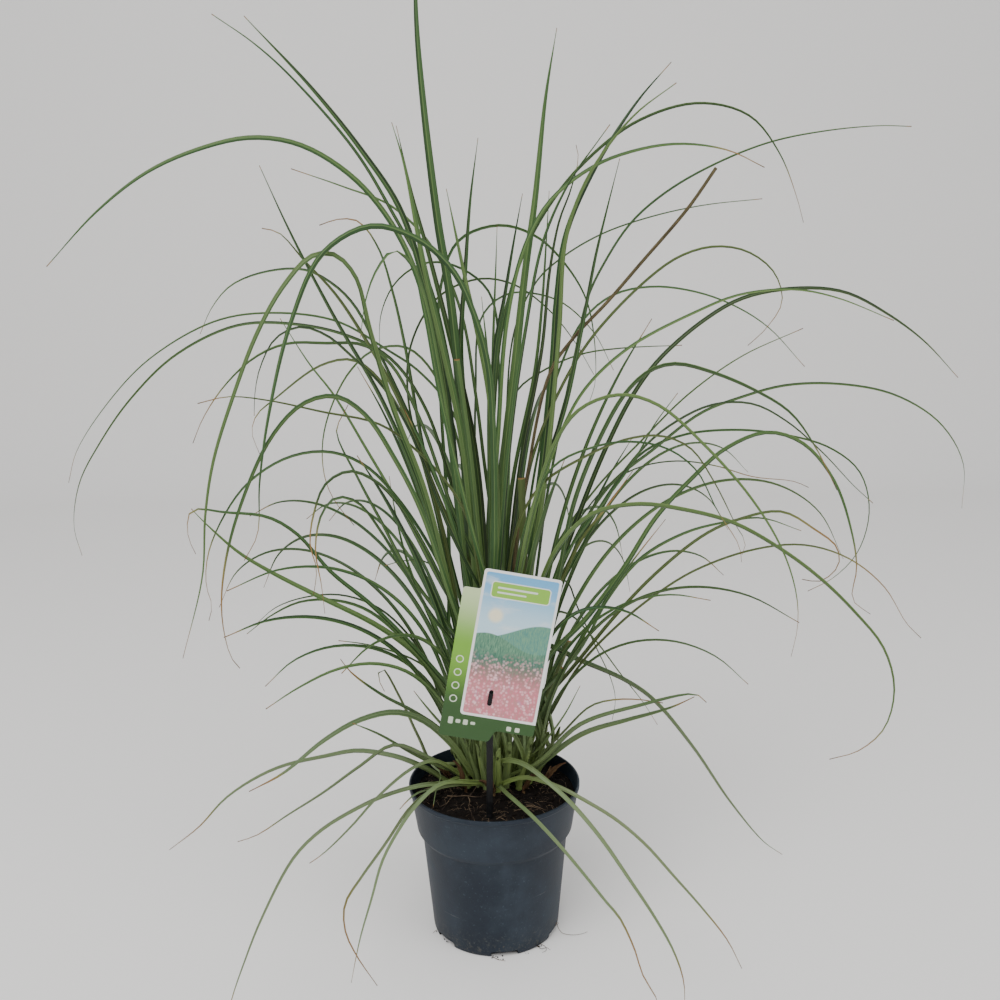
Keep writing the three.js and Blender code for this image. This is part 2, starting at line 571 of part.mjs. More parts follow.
function bladeSolid(leaf) {
  const last = leaf.stations.length - 1;
  const rings = leaf.stations.map((station, i) => {
    const half = halfWidthAt(leaf, i / last);
    const { across, keel } = leaf.frames[i];
    const depth = keelDepthAt(i / last);
    const top = station.clone().addScaledVector(keel, -bladeShape.edgeRise * depth);
    return [
      top.clone().addScaledVector(across, half),
      station.clone().addScaledVector(keel, (1 - bladeShape.edgeRise) * depth),
      top.clone().addScaledVector(across, -half),
    ];
  });
  return solidFromRings(rings);
}

// ---- bending leaves clear of each other ----

// Half the blade's size in a direction
function reachTowards(line, i, direction) {
  if (line.radius) return line.radius;
  const { across, keel } = line.frames[i];
  const wide = line.halves[i] * across.dot(direction);
  const deep = line.deep * keel.dot(direction);
  return Math.hypot(wide, deep);
}

const scratch = { u: new THREE.Vector3(), v: new THREE.Vector3(), w: new THREE.Vector3() };

// Nearest points of segments a-b and c-d, as shares of their lengths
function nearestShares(a, b, c, d) {
  const u = scratch.u.subVectors(b, a);
  const v = scratch.v.subVectors(d, c);
  const w = scratch.w.subVectors(a, c);
  const uu = u.dot(u);
  const uv = u.dot(v);
  const vv = v.dot(v);
  const uw = u.dot(w);
  const vw = v.dot(w);
  const spread = uu * vv - uv * uv;
  const clamp = (x) => Math.min(Math.max(x, 0), 1);
  let s = spread > 1e-9 ? clamp((uv * vw - vv * uw) / spread) : 0.5;
  const t = clamp((uv * s + vw) / vv);
  s = clamp((uv * t - uw) / uu);
  return [s, t];
}

function boxOf(line) {
  return new THREE.Box3().setFromPoints(line.stations).expandByScalar(line.margin);
}

// Pushes two lines apart from their stations numbered `first` on, where they are too near each other
function pushApart(one, two, first) {
  const direction = new THREE.Vector3();
  const here = new THREE.Vector3();
  const there = new THREE.Vector3();
  for (let i = first; i < one.stations.length - 1; i++) {
    for (let j = first; j < two.stations.length - 1; j++) {
      const [a, b] = [one.stations[i], one.stations[i + 1]];
      const [c, d] = [two.stations[j], two.stations[j + 1]];
      const [s, t] = nearestShares(a, b, c, d);
      here.lerpVectors(a, b, s);
      there.lerpVectors(c, d, t);
      direction.subVectors(here, there);
      const apart = direction.length();
      if (apart > one.margin + two.margin) continue;
      if (apart < 0.05) direction.set(0, 1, 0);
      else direction.divideScalar(apart);
      const needed = leafClearance
        + Math.max(reachTowards(one, i, direction), reachTowards(one, i + 1, direction))
        + Math.max(reachTowards(two, j, direction), reachTowards(two, j + 1, direction));
      const short = needed - apart;
      if (short <= 0) continue;
      const shareOne = two.radius ? 1 : one.radius ? 0 : 0.5;
      one.pushes[i].addScaledVector(direction, short * shareOne * (1 - s));
      one.pushes[i + 1].addScaledVector(direction, short * shareOne * s);
      two.pushes[j].addScaledVector(direction, -short * (1 - shareOne) * (1 - t));
      two.pushes[j + 1].addScaledVector(direction, -short * (1 - shareOne) * t);
    }
  }
}

// How far a point of a leaf is to move to lie over the soil and the rim, outside the pot, behind the label
function wayFromHolder(point) {
  const move = new THREE.Vector3();
  const radius = Math.hypot(point.x, point.y);
  const overSoil = radius < potRimRadius - potWall - potClearance;
  const floor = overSoil
    ? soilTop + soilMound + soilRelief + soilClearance
    : potHeight + potClearance;
  if (radius < potRimRadius + potClearance && point.z < floor) {
    if (point.z > soilTop) move.z = floor - point.z;
    else move.set(point.x, point.y, 0).setLength(potRimRadius + potClearance - radius);
  }
  const [across, up] = onLabel(point.x, point.z);
  const beside = across > labelLeft - labelMargin && across < labelRight + labelMargin
    && up > labelTabBottom - labelMargin && up < labelTop + labelMargin;
  if (beside && point.y < label.y + labelMargin) move.y = label.y + labelMargin - point.y;
  return move;
}

function pushFromHolder(line) {
  const point = new THREE.Vector3();
  for (let i = 1; i < line.stations.length - 1; i++) {
    for (let k = 0; k <= clearing.samples; k++) {
      const share = k / clearing.samples;
      point.lerpVectors(line.stations[i], line.stations[i + 1], share);
      const move = wayFromHolder(point).multiplyScalar(clearing.holderShare);
      line.pushes[i].addScaledVector(move, 1 - share);
      line.pushes[i + 1].addScaledVector(move, share);
    }
  }
}

function settle(line) {
  const { pushes, stations } = line;
  const last = stations.length - 1;
  const spread = pushes.map((push, i) => {
    const before = pushes[Math.max(i - 1, 0)];
    const after = pushes[Math.min(i + 1, last)];
    const beside = before.clone().add(after).multiplyScalar(clearing.beside);
    return beside.addScaledVector(push, clearing.own);
  });
  spread.forEach((push, i) => {
    if (i > 1) stations[i].add(push.clampLength(0, clearing.most));
    pushes[i].set(0, 0, 0);
  });
}

function bendClear(lines) {
  for (let round = 0; round < clearing.rounds; round++) {
    const boxes = lines.map(boxOf);
    lines.forEach((one, i) => {
      for (let j = i + 1; j < lines.length; j++) {
        const two = lines[j];
        const together = one.owner === two.owner;
        if ((one.radius || two.radius) && (together || one.radius === two.radius)) continue;
        if (!boxes[i].intersectsBox(boxes[j])) continue;
        pushApart(one, two, together ? 2 : 0);
      }
    });
    for (const line of lines) {
      if (line.radius) continue;
      pushFromHolder(line);
      settle(line);
    }
  }
}

// ---- shoots ----

function sheathHeight(shoot) {
  return Math.max(...shoot.leaves.map(neckHeight)) + sheathOverNeck;
}

function sheathStations(shoot) {
  const collar = shoot.foot.clone().addScaledVector(upward, shootCollar);
  return [
    shoot.foot.clone().addScaledVector(upward, -shootRoot),
    collar,
    collar.clone().addScaledVector(shoot.axis, sheathHeight(shoot) / 2),
    collar.clone().addScaledVector(shoot.axis, sheathHeight(shoot)),
  ];
}

function sheathSolid(shoot) {
  const stations = sheathStations(shoot);
  const radii = [shootRadius, shootRadius, (shootRadius + shootTopRadius) / 2, shootTopRadius];
  return solidFromRings(stations.map((station, ring) => (
    Array.from({ length: shootSides }, (_, side) => {
      const turn = (side / shootSides) * 2 * Math.PI;
      return new THREE.Vector3(
        station.x + radii[ring] * Math.cos(turn),
        station.y + radii[ring] * Math.sin(turn),
        station.z,
      );
    })
  )));
}

function makeLines(shoots) {
  const draw = makeDraw(fillSeed + 1);
  const lines = [];
  shoots.forEach((shoot, owner) => {
    shoot.axis = shootAxis(shoot);
    for (const leaf of shoot.leaves) {
      leafTwist(leaf, draw);
      leaf.stations = leafLine(leaf, shoot);
      bladeFrames(leaf);
      const last = leaf.stations.length - 1;
      leaf.halves = leaf.stations.map((_, i) => halfWidthAt(leaf, i / last));
      lines.push(Object.assign(leaf, {
        owner,
        deep: bladeDepth,
        margin: leaf.width / 2 + bladeMargin,
        pushes: leaf.stations.map(() => new THREE.Vector3()),
      }));
    }
    const stations = sheathStations(shoot);
    lines.push({
      owner,
      stations,
      radius: shootRadius,
      margin: shootRadius,
      pushes: stations.map(() => new THREE.Vector3()),
    });
  });
  return lines;
}

function shootSolid(shoot) {
  let solid = sheathSolid(shoot);
  for (const leaf of shoot.leaves) solid = solid.add(bladeSolid(leaf));
  // The outer skin alone, without the small hollows that crossing blades can shut in
  const bodies = solid.simplify(unionTolerance).decompose();
  return bodies.reduce((best, body) => (body.volume() > best.volume() ? body : best));
}

// A dry sheath: one short broad blade with a cut end, at the crown's front edge
function growDrySheath(index, draw) {
  const turn = drySheaths.firstTurn + drySheaths.turnStep * index;
  const foot = crownPlace(drySheaths.reach, turn);
  const length = drySheaths.shortest + (drySheaths.longest - drySheaths.shortest) * draw();
  const heading = turn + draw() - 0.5;
  const lean = THREE.MathUtils.lerp(...drySheaths.lean, draw());
  const points = archPoints(foot, heading, length, lean, drySheaths.bow);
  return { foot, leaves: [{ width: drySheaths.width, end: 'cut', points }] };
}

// ---- pot ----

function ring(radius, z, sides) {
  return Array.from({ length: sides }, (_, side) => {
    const turn = (side / sides) * 2 * Math.PI;
    return new THREE.Vector3(radius * Math.cos(turn), radius * Math.sin(turn), z);
  });
}

// Inside of the pot: radius and height from the floor up
const hollow = [
  [potBaseRadius - potWall + 1, potFloor],
  [potFootRadius - potWall, potFootHeight + 1],
  [potShoulderRadius - potWall, potShoulder],
  [potBandBottomRadius - potWall, potBandBottom],
  [potLipRadius - potWall, potHeight - potLipDrop - 1],
  [potRimRadius - potWall, potHeight],
];

function hollowRadius(z) {
  const above = hollow.findIndex(([, height]) => height >= z);
  const [lowRadius, low] = hollow[above - 1];
  const [highRadius, high] = hollow[above];
  return THREE.MathUtils.mapLinear(z, low, high, lowRadius, highRadius);
}

function potSolid() {
  const outside = [
    [potBaseRadius, 0],
    [potFootRadius, potFootHeight],
    [potShoulderRadius, potShoulder],
    [potBandBottomRadius, potBandBottom],
    [potLipRadius, potHeight - potLipDrop],
    [potRimRadius, potHeight - potLipDrop + potLipEdge],
    [potRimRadius, potHeight],
  ];
  const body = solidFromRings(outside.map(([radius, z]) => ring(radius, z, potSides)));
  const inner = [...hollow, [potRimRadius - potWall, potHeight + 1]];
  let pot = body.subtract(solidFromRings(inner.map(([radius, z]) => ring(radius, z, potSides))));
  for (let i = 0; i < drainNotches; i++) {
    const notch = new THREE.BoxGeometry(drainNotchDepth * 2, drainNotchWidth, drainNotchHeight * 2);
    notch.translate(potFootRadius, 0, 0);
    notch.rotateZ(drainNotchTurn + (i / drainNotches) * 2 * Math.PI);
    pot = pot.subtract(solidOf(notch));
  }
  return pot;
}

// ---- soil ----

function soilHeight(x, y) {
  const fromCrown = Math.hypot(x - crown.x, y - crown.y) / potRimRadius;
  const lumps = Math.sin(x / soilLumps.acrossX + soilLumps.turnX)
    * Math.cos(y / soilLumps.acrossY + soilLumps.turnY);
  return soilTop + soilMound * Math.max(0, 1 - fromCrown ** 2) + soilRelief * lumps;
}

// What is cut from the soil for a shoot's foot
function footHole(foot) {
  const radius = shootRadius + shootHoleGap / Math.cos(Math.PI / shootSides);
  const rings = [-shootRoot - shootHoleGap, 2 * (soilMound + soilRelief)].map((z) => (
    ring(radius, z, shootSides).map((point) => point.add(foot))
  ));
  return solidFromRings(rings);
}

function soilSolid(feet) {
  const edge = hollowRadius(soilTop - soilRelief) - soilGap;
  const low = hollow.slice(0, 4).map(([radius, z], i) => ring(
    radius - soilWallGap,
    z + (i === 0 ? soilGap : 0),
    soilSides,
  ));
  const top = Array.from({ length: soilRings }, (_, i) => (
    ring(edge * (1 - i / soilRings), 0, soilSides).map((point) => point.setZ(soilHeight(point.x, point.y)))
  ));
  let soil = solidFromRings([...low, ...top]);
  for (const foot of feet) soil = soil.subtract(footHole(foot));
  const slotFoot = stake.foot - stakeGap;
  const slot = new THREE.BoxGeometry(
    stake.width + 2 * stakeGap + stake.lean * (potHeight - slotFoot),
    stake.thickness + 2 * stakeGap,
    potHeight - slotFoot,
  );
  slot.translate(stakeMiddle((soilTop + slotFoot) / 2), stakeDepth, (potHeight + slotFoot) / 2);
  return soil.subtract(solidOf(slot)).simplify(unionTolerance);
}

// ---- label and stake ----

const stakeDepth = label.y + stakeGap + stake.thickness / 2;

function stakeMiddle(z) {
  return stake.x + stake.lean * (z - soilTop);
}

// From the pot's axes to the label's own, along its width and its height
function onLabel(x, z) {
  const [across, up] = [x - label.x, z - label.z];
  const [c, s] = [Math.cos(label.turn), Math.sin(label.turn)];
  return [across * c + up * s, up * c - across * s];
}

// An outline with each corner rounded
function roundedShape(corners, radius) {
  const points = corners.map(([x, y]) => new THREE.Vector2(x, y));
  const shape = new THREE.Shape();
  points.forEach((point, i) => {
    const before = points.at(i - 1).clone().sub(point);
    const after = points[(i + 1) % points.length].clone().sub(point);
    const inset = Math.min(radius, before.length() / 2, after.length() / 2);
    const start = point.clone().addScaledVector(before.normalize(), inset);
    const end = point.clone().addScaledVector(after.normalize(), inset);
    if (i === 0) shape.moveTo(start.x, start.y);
    else shape.lineTo(start.x, start.y);
    shape.quadraticCurveTo(point.x, point.y, end.x, end.y);
  });
  shape.closePath();
  return shape;
}

function placeOnLabel(geometry) {
  return geometry.rotateX(Math.PI / 2).rotateY(-label.turn).translate(label.x, label.y, label.z);
}

function labelSolid() {
  const card = roundedShape([
    [labelRight, labelTop],
    [labelPanelLeft, labelTop],
    [labelPanelLeft, labelTabTop],
    [labelLeft, labelTabTop],
    [labelLeft, labelTabBottom],
    [labelNotchLeft, labelTabBottom],
    [labelNotchRight, labelPanelBottom],
    [labelRight, labelPanelBottom],
  ], labelCorner);
  const [x, z] = onLabel(labelSlot.x, labelSlot.z);
  const halfWidth = labelSlot.width / 2;
  const halfHeight = labelSlot.height / 2;
  card.holes.push(roundedShape([
    [x - halfWidth, z - halfHeight],
    [x + halfWidth, z - halfHeight],
    [x + halfWidth, z + halfHeight],
    [x - halfWidth, z + halfHeight],
  ], halfWidth));
  const options = { depth: label.thickness, bevelEnabled: false, curveSegments: 4 };
  return solidOf(placeOnLabel(new THREE.ExtrudeGeometry(card, options)));
}

// The stake stands behind the label, and its tongue passes through the label's slot
function stakeSolid() {
  const across = stake.width / 2;
  const deep = stake.thickness / 2;
  const section = (z, share) => [
    new THREE.Vector3(stakeMiddle(z) - across * share, stakeDepth - deep, z),
    new THREE.Vector3(stakeMiddle(z) + across * share, stakeDepth - deep, z),
    new THREE.Vector3(stakeMiddle(z) + across * share, stakeDepth + deep, z),
    new THREE.Vector3(stakeMiddle(z) - across * share, stakeDepth + deep, z),
  ];
  const post = solidFromRings([
    section(stake.foot, stake.pointShare),
    section(stake.foot + stake.pointLength, 1),
    section(stake.top, 1),
  ]);
  const length = stakeGap + label.thickness + tongue.reach + deep;
  const [x, z] = onLabel(labelSlot.x, labelSlot.z);
  const peg = new THREE.BoxGeometry(tongue.width, tongue.height, length);
  peg.translate(x, z, label.thickness + tongue.reach - length / 2);
  return post.add(solidOf(placeOnLabel(peg)));
}

// ---- the plant in its pot ----

const shoots = growShoots();
const drawSheath = makeDraw(fillSeed + 2);
for (let i = 0; i < drySheaths.count; i++) shoots.push(growDrySheath(i, drawSheath));

const stakeLine = {
  owner: shoots.length,
  stations: [stake.foot, labelSlot.z, stake.top].map((z) => (
    new THREE.Vector3(stakeMiddle(z), stakeDepth, z)
  )),
  radius: stake.width / 2 + stakeClearance,
  margin: stake.width / 2 + stakeClearance,
};
stakeLine.pushes = stakeLine.stations.map(() => new THREE.Vector3());
bendClear([...makeLines(shoots), stakeLine]);

const plant = new THREE.Group();
plant.name = 'pampas_grass_plant';
plant.add(meshNode('pot', geometryOf(potSolid()), 0x2b3038, 0.72));
plant.add(meshNode('soil', geometryOf(soilSolid(shoots.map(({ foot }) => foot))), 0x2a1d15, 0.95));
plant.add(meshNode('plant_label', geometryOf(labelSolid()), 0x7fb13c, 0.35));
plant.add(meshNode('label_stake', geometryOf(stakeSolid()), 0x15161a, 0.6));

const dryCount = drySheaths.count + 1;
shoots.forEach((shoot, i) => {
  const order = i - (shoots.length - dryCount);
  const number = String(order < 0 ? i + 1 : order).padStart(2, '0');
  const name = order < 0 ? `shoot_${number}` : order === 0 ? 'dry_leaf' : `dry_sheath_${number}`;
  const colour = order < 0 ? 0x4f6b2f : 0x8a6f45;
  plant.add(meshNode(name, geometryOf(shootSolid(shoot)), colour, 0.6));
});

export default plant;
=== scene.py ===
import math

import bmesh
import bpy
import numpy as np
from mathutils import Matrix, Vector, noise


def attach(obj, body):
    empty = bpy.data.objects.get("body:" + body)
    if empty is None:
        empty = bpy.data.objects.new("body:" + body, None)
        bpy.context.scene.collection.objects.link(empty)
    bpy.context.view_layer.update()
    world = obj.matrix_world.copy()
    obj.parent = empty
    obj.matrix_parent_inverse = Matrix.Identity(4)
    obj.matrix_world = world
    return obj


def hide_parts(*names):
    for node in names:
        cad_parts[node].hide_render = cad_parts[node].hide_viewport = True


# A clump of pampas grass in a nursery pot. The leaf lines are worked out in millimetres,
# by the rule that the solids follow, and every mesh is in metres.

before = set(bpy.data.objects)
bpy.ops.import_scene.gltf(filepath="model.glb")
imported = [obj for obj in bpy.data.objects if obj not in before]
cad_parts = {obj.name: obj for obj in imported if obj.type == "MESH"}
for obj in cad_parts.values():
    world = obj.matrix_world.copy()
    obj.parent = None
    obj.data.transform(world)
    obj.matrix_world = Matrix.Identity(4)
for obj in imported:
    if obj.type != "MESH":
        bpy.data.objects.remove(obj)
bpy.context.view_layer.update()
mm = 0.001


def newMaterial(name):
    material = bpy.data.materials.new(name)
    material.use_nodes = True
    tree = material.node_tree
    return material, tree, tree.nodes["Principled BSDF"]


def link(tree, source, target):
    tree.links.new(source, target)


def setInputs(tree, node, names, values):
    # a socket is linked, a number or a colour is set
    for name, value in zip(names, values):
        if isinstance(value, bpy.types.NodeSocket):
            link(tree, value, node.inputs[name])
        else:
            colour = isinstance(value, tuple) and len(value) == 3
            node.inputs[name].default_value = (*value, 1) if colour else value


def attribute(tree, name):
    node = tree.nodes.new("ShaderNodeAttribute")
    node.attribute_name = name
    return node.outputs["Fac"]


def objectPlace(tree):
    return tree.nodes.new("ShaderNodeTexCoord").outputs["Object"]


def heightAt(tree):
    split = tree.nodes.new("ShaderNodeSeparateXYZ")
    link(tree, objectPlace(tree), split.inputs[0])
    return split.outputs["Z"]


def math2(tree, operation, first, second=0.5, clamp=False):
    node = tree.nodes.new("ShaderNodeMath")
    node.operation = operation
    node.use_clamp = clamp
    setInputs(tree, node, (0, 1), (first, second))
    return node.outputs[0]


def times(tree, first, second, clamp=False):
    return math2(tree, "MULTIPLY", first, second, clamp)


def plus(tree, first, second, clamp=False):
    return math2(tree, "ADD", first, second, clamp)


def minus(tree, first, second, clamp=False):
    return math2(tree, "SUBTRACT", first, second, clamp)


def larger(tree, first, second):
    return math2(tree, "MAXIMUM", first, second)


def fade(tree, value, low, high, toLow=0.0, toHigh=1.0):
    # smooth step from toLow at low to toHigh at high
    node = tree.nodes.new("ShaderNodeMapRange")
    node.interpolation_type = "SMOOTHSTEP"
    names = ("Value", "From Min", "From Max", "To Min", "To Max")
    setInputs(tree, node, names, (value, low, high, toLow, toHigh))
    return node.outputs["Result"]


def mixColour(tree, share, first, second):
    node = tree.nodes.new("ShaderNodeMix")
    node.data_type = "RGBA"
    setInputs(tree, node, ("Factor", "A", "B"), (share, first, second))
    return node.outputs["Result"]


def layered(tree, colour, *layers):
    # each layer is a share and the colour that comes over the ones before it
    for share, over in layers:
        colour = mixColour(tree, share, colour, over)
    return colour


def noiseAt(tree, place, scale, detail=4.0, roughness=0.55, distortion=0.0):
    node = tree.nodes.new("ShaderNodeTexNoise")
    names = ("Vector", "Scale", "Detail", "Roughness", "Distortion")
    setInputs(tree, node, names, (place, scale, detail, roughness, distortion))
    return node.outputs["Fac"]


def combine(tree, x, y, z):
    node = tree.nodes.new("ShaderNodeCombineXYZ")
    setInputs(tree, node, "XYZ", (x, y, z))
    return node.outputs["Vector"]


def bump(tree, shader, height, strength, distance):
    node = tree.nodes.new("ShaderNodeBump")
    setInputs(tree, node, ("Height", "Strength", "Distance"), (height, strength, distance))
    link(tree, node.outputs["Normal"], shader.inputs["Normal"])


def scaled(tree, place, scale):
    node = tree.nodes.new("ShaderNodeMapping")
    node.inputs["Scale"].default_value = scale
    link(tree, place, node.inputs["Vector"])
    return node.outputs["Vector"]


def paint(tree, shader, colour, roughness, specular=0.5):
    setInputs(tree, shader, ("Base Color", "Roughness"), (colour, roughness))
    shader.inputs["Specular IOR Level"].default_value = specular


def tidyMesh(bm, name, material, smooth=True):
    mesh = bpy.data.meshes.new(name)
    bm.to_mesh(mesh)
    bm.free()
    for polygon in mesh.polygons:
        polygon.use_smooth = smooth
    for one in material if isinstance(material, list) else [material]:
        mesh.materials.append(one)
    piece = bpy.data.objects.new(name, mesh)
    bpy.context.scene.collection.objects.link(piece)
    return piece


def finishPiece(piece, node=None):
    if node:
        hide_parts(node)
    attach(piece, "root")


def addSmall(bm, small):
    # joins a small closed mesh to a large one, its faces outward
    bmesh.ops.recalc_face_normals(small, faces=small.faces)
    if small.calc_volume(signed=True) < 0:
        bmesh.ops.reverse_faces(small, faces=small.faces)
    mesh = bpy.data.meshes.new("small")
    small.to_mesh(mesh)
    small.free()
    bm.from_mesh(mesh)
    bpy.data.meshes.remove(mesh)


def vertsIn(geom):
    return [one for one in geom if isinstance(one, bmesh.types.BMVert)]


def chain(bm, points):
    verts = [bm.verts.new(point) for point in points]
    return verts, [bm.edges.new(pair) for pair in zip(verts, verts[1:])]


def lathe(bm, profile, steps):
    # an outline of radius and height in mm, from the axis back to the axis, turned about it
    verts, edges = chain(bm, [(radius * mm, 0, z * mm) for radius, z in profile])
    bmesh.ops.spin(
        bm,
        geom=verts + edges,
        cent=(0, 0, 0),
        axis=(0, 0, 1),
        angle=2 * math.pi,
        steps=steps,
        use_merge=True,
    )
    bmesh.ops.remove_doubles(bm, verts=bm.verts, dist=1e-6)
    bmesh.ops.recalc_face_normals(bm, faces=bm.faces)


def roundOff(bm, geom, offset, segments, affect="EDGES"):
    bmesh.ops.bevel(
        bm,
        geom=geom,
        offset=offset * mm,
        offset_type="OFFSET",
        affect=affect,
        segments=segments,
        profile=0.5,
        material=-1,
    )


def cutAway(piece, cutter, materials="INDEX"):
    # takes the cutter's form out of the piece, and then the cutter out of the scene
    cut = piece.modifiers.new("cut", "BOOLEAN")
    cut.operation = "DIFFERENCE"
    cut.solver = "EXACT"
    cut.material_mode = materials
    cut.object = cutter
    graph = bpy.context.evaluated_depsgraph_get()
    mesh = bpy.data.meshes.new_from_object(piece.evaluated_get(graph))
    piece.modifiers.clear()
    piece.data = mesh
    bpy.data.objects.remove(cutter)


print("camera, floor and lights")

view = {
    "place": (9.4, -931.6, 624),  # mm
    "down": 11.14,  # degrees under level
    "roll": -0.74,
    "lens": 36,
    "sensor": 36,
}


def addCamera():
    data = bpy.data.cameras.new("camera")
    data.lens = view["lens"]
    data.sensor_width = view["sensor"]
    camera = bpy.data.objects.new("camera", data)
    bpy.context.scene.collection.objects.link(camera)
    tilt = Matrix.Rotation(math.radians(90 - view["down"]), 4, "X")
    roll = Matrix.Rotation(math.radians(view["roll"]), 4, "Z")
    camera.matrix_world = Matrix.Translation(Vector(view["place"]) * mm) @ tilt @ roll
    bpy.context.scene.camera = camera


studio = {
    "floor": (0.92, 0.905, 0.885),
    "floorHalf": 6.0,  # m
    "wallBehind": 2.6,
    "wallHeight": 5.0,
    "curve": 0.35,  # radius between the floor and the wall
    "curveSteps": 8,
    "target": (0, 0, 0.4),
    "key": {"place": (-1.0, -1.7, 2.6), "size": 2.2, "power": 68},  # m and W
    "fill": {"place": (1.9, -1.4, 1.6), "size": 2.0, "power": 20},
    "sky": (0.97, 0.98, 1.0),
    "skyPower": 0.66,
}


def addStudio():
    # one sheet: the floor, a round corner and the wall behind
    bm = bmesh.new()
    half, curve, steps = studio["floorHalf"], studio["curve"], studio["curveSteps"]
    corner = studio["wallBehind"] - curve
    path = [(-half, 0), (corner, 0)]
    for i in range(1, steps + 1):
        turn = math.pi / 2 * i / steps
        path.append((corner + curve * math.sin(turn), curve * (1 - math.cos(turn))))
    path.append((studio["wallBehind"], studio["wallHeight"]))
    edges = chain(bm, [(-half, y, z) for y, z in path])[1]
    made = bmesh.ops.extrude_edge_only(bm, edges=edges)["geom"]
    bmesh.ops.translate(bm, vec=(2 * half, 0, 0), verts=vertsIn(made))
    bmesh.ops.recalc_face_normals(bm, faces=bm.faces)
    material, tree, shader = newMaterial("studio")
    paint(tree, shader, studio["floor"], 0.9, 0.2)
    floor = tidyMesh(bm, "studio_floor", material)


def addLight(name):
    look = studio[name]
    data = bpy.data.lights.new(name, "AREA")
    data.energy = look["power"]
    data.size = look["size"]
    light = bpy.data.objects.new(name, data)
    bpy.context.scene.collection.objects.link(light)
    turn = (Vector(studio["target"]) - Vector(look["place"])).to_track_quat("-Z", "Y")
    light.matrix_world = Matrix.Translation(look["place"]) @ turn.to_matrix().to_4x4()


def addSky():
    world = bpy.data.worlds.new("studio")
    world.use_nodes = True
    background = world.node_tree.nodes["Background"]
    background.inputs["Color"].default_value = (*studio["sky"], 1)
    background.inputs["Strength"].default_value = studio["skyPower"]
    bpy.context.scene.world = world


addCamera()
addStudio()
addLight("key")
addLight("fill")
addSky()


crown = {
    "x": 4,
    "y": 30,
    "halfWidth": 42,
    "halfDepth": 34,
    "shoots": 38,
    "spread": 85,  # the larger, the more upright the outer shoots
    "leavesEach": 5,
    "crowding": 1.5,  # mm by which each leaf that a shoot holds makes it less near
    "back": 0.8,  # how far a drawn leaf is followed back to its foot
    "footReach": 0.95,
    "depthReach": 150,  # tip depth at which a leaf starts at the crown's edge
    "soilTop": 141,
    "collar": 6,  # upright start of a shoot
    "neckShare": 0.25,  # of the height at which its leaf is first drawn
    "neckLow": 10,
    "neckHigh": 48,
    "overNeck": 4,
    "radius": 3.7,
    "topRadius": 2.3,
    "root": 14,
}

blade = {
    "baseWidth": 4.6,
    "tipWidth": 1.5,
    "offset": 1,
    "fullAt": 0.2,
    "taperFrom": 0.12,
    "narrowed": 0.5,  # share of its width that a blade loses before it closes to its tip
    "closing": 8,
    "upright": 1.1,  # breadth of an upright blade and of one that arches away, over the usual
    "arching": 0.78,
    "archFrom": 0.08,
    "archTo": 0.3,
    "keelAtBase": 1.5,
    "depthPower": 1.2,
    "twistFoot": 0.45,
    "twistLeast": 0.3,
    "twistSideways": 1.5,
    "twistEven": 0.6,
    "steady": 0.1,  # how far a blade's width keeps its direction
    "nearNeck": 12,  # mm in which no point of the drawn line is used
    "stations": {"least": 5, "most": 10, "base": 4.5, "perTurn": 2.1},
}

clearing = {
    "leaf": 0.6,
    "pot": 4.5,
    "label": 8,
    "soil": 2,
    "stake": 0.5,
    "rounds": 160,
    "samples": 5,
    "mostMove": 3,
    "keelShare": 0.8,
    "lookAhead": 16,
    "ownShare": 0.7,  # of a push at a station, and of one at either neighbour
    "nextShare": 0.2,
}

pot = {"height": 155, "rimRadius": 85.5, "wall": 2}
soil = {"mound": 2, "relief": 1.6}

label = {
    "x": 17.2,
    "y": -56,
    "z": 313,
    "turn": -0.183,
    "thickness": 0.8,
    "left": -52,
    "right": 36,
    "top": 71,
    "bottom": -94.5,
    "panelLeft": -35.5,
    "panelBottom": -82.5,
    "tabTop": 51,
    "notchLeft": -5,
    "notchRight": 0,
    "corner": 2.88,
}
stake = {"x": -4.4, "lean": 0.016, "foot": 96, "top": 284, "width": 6.2, "thickness": 2.4, "gap": 0.4}
slot = {"x": -1.9, "z": 264.5, "width": 4.4, "height": 16}

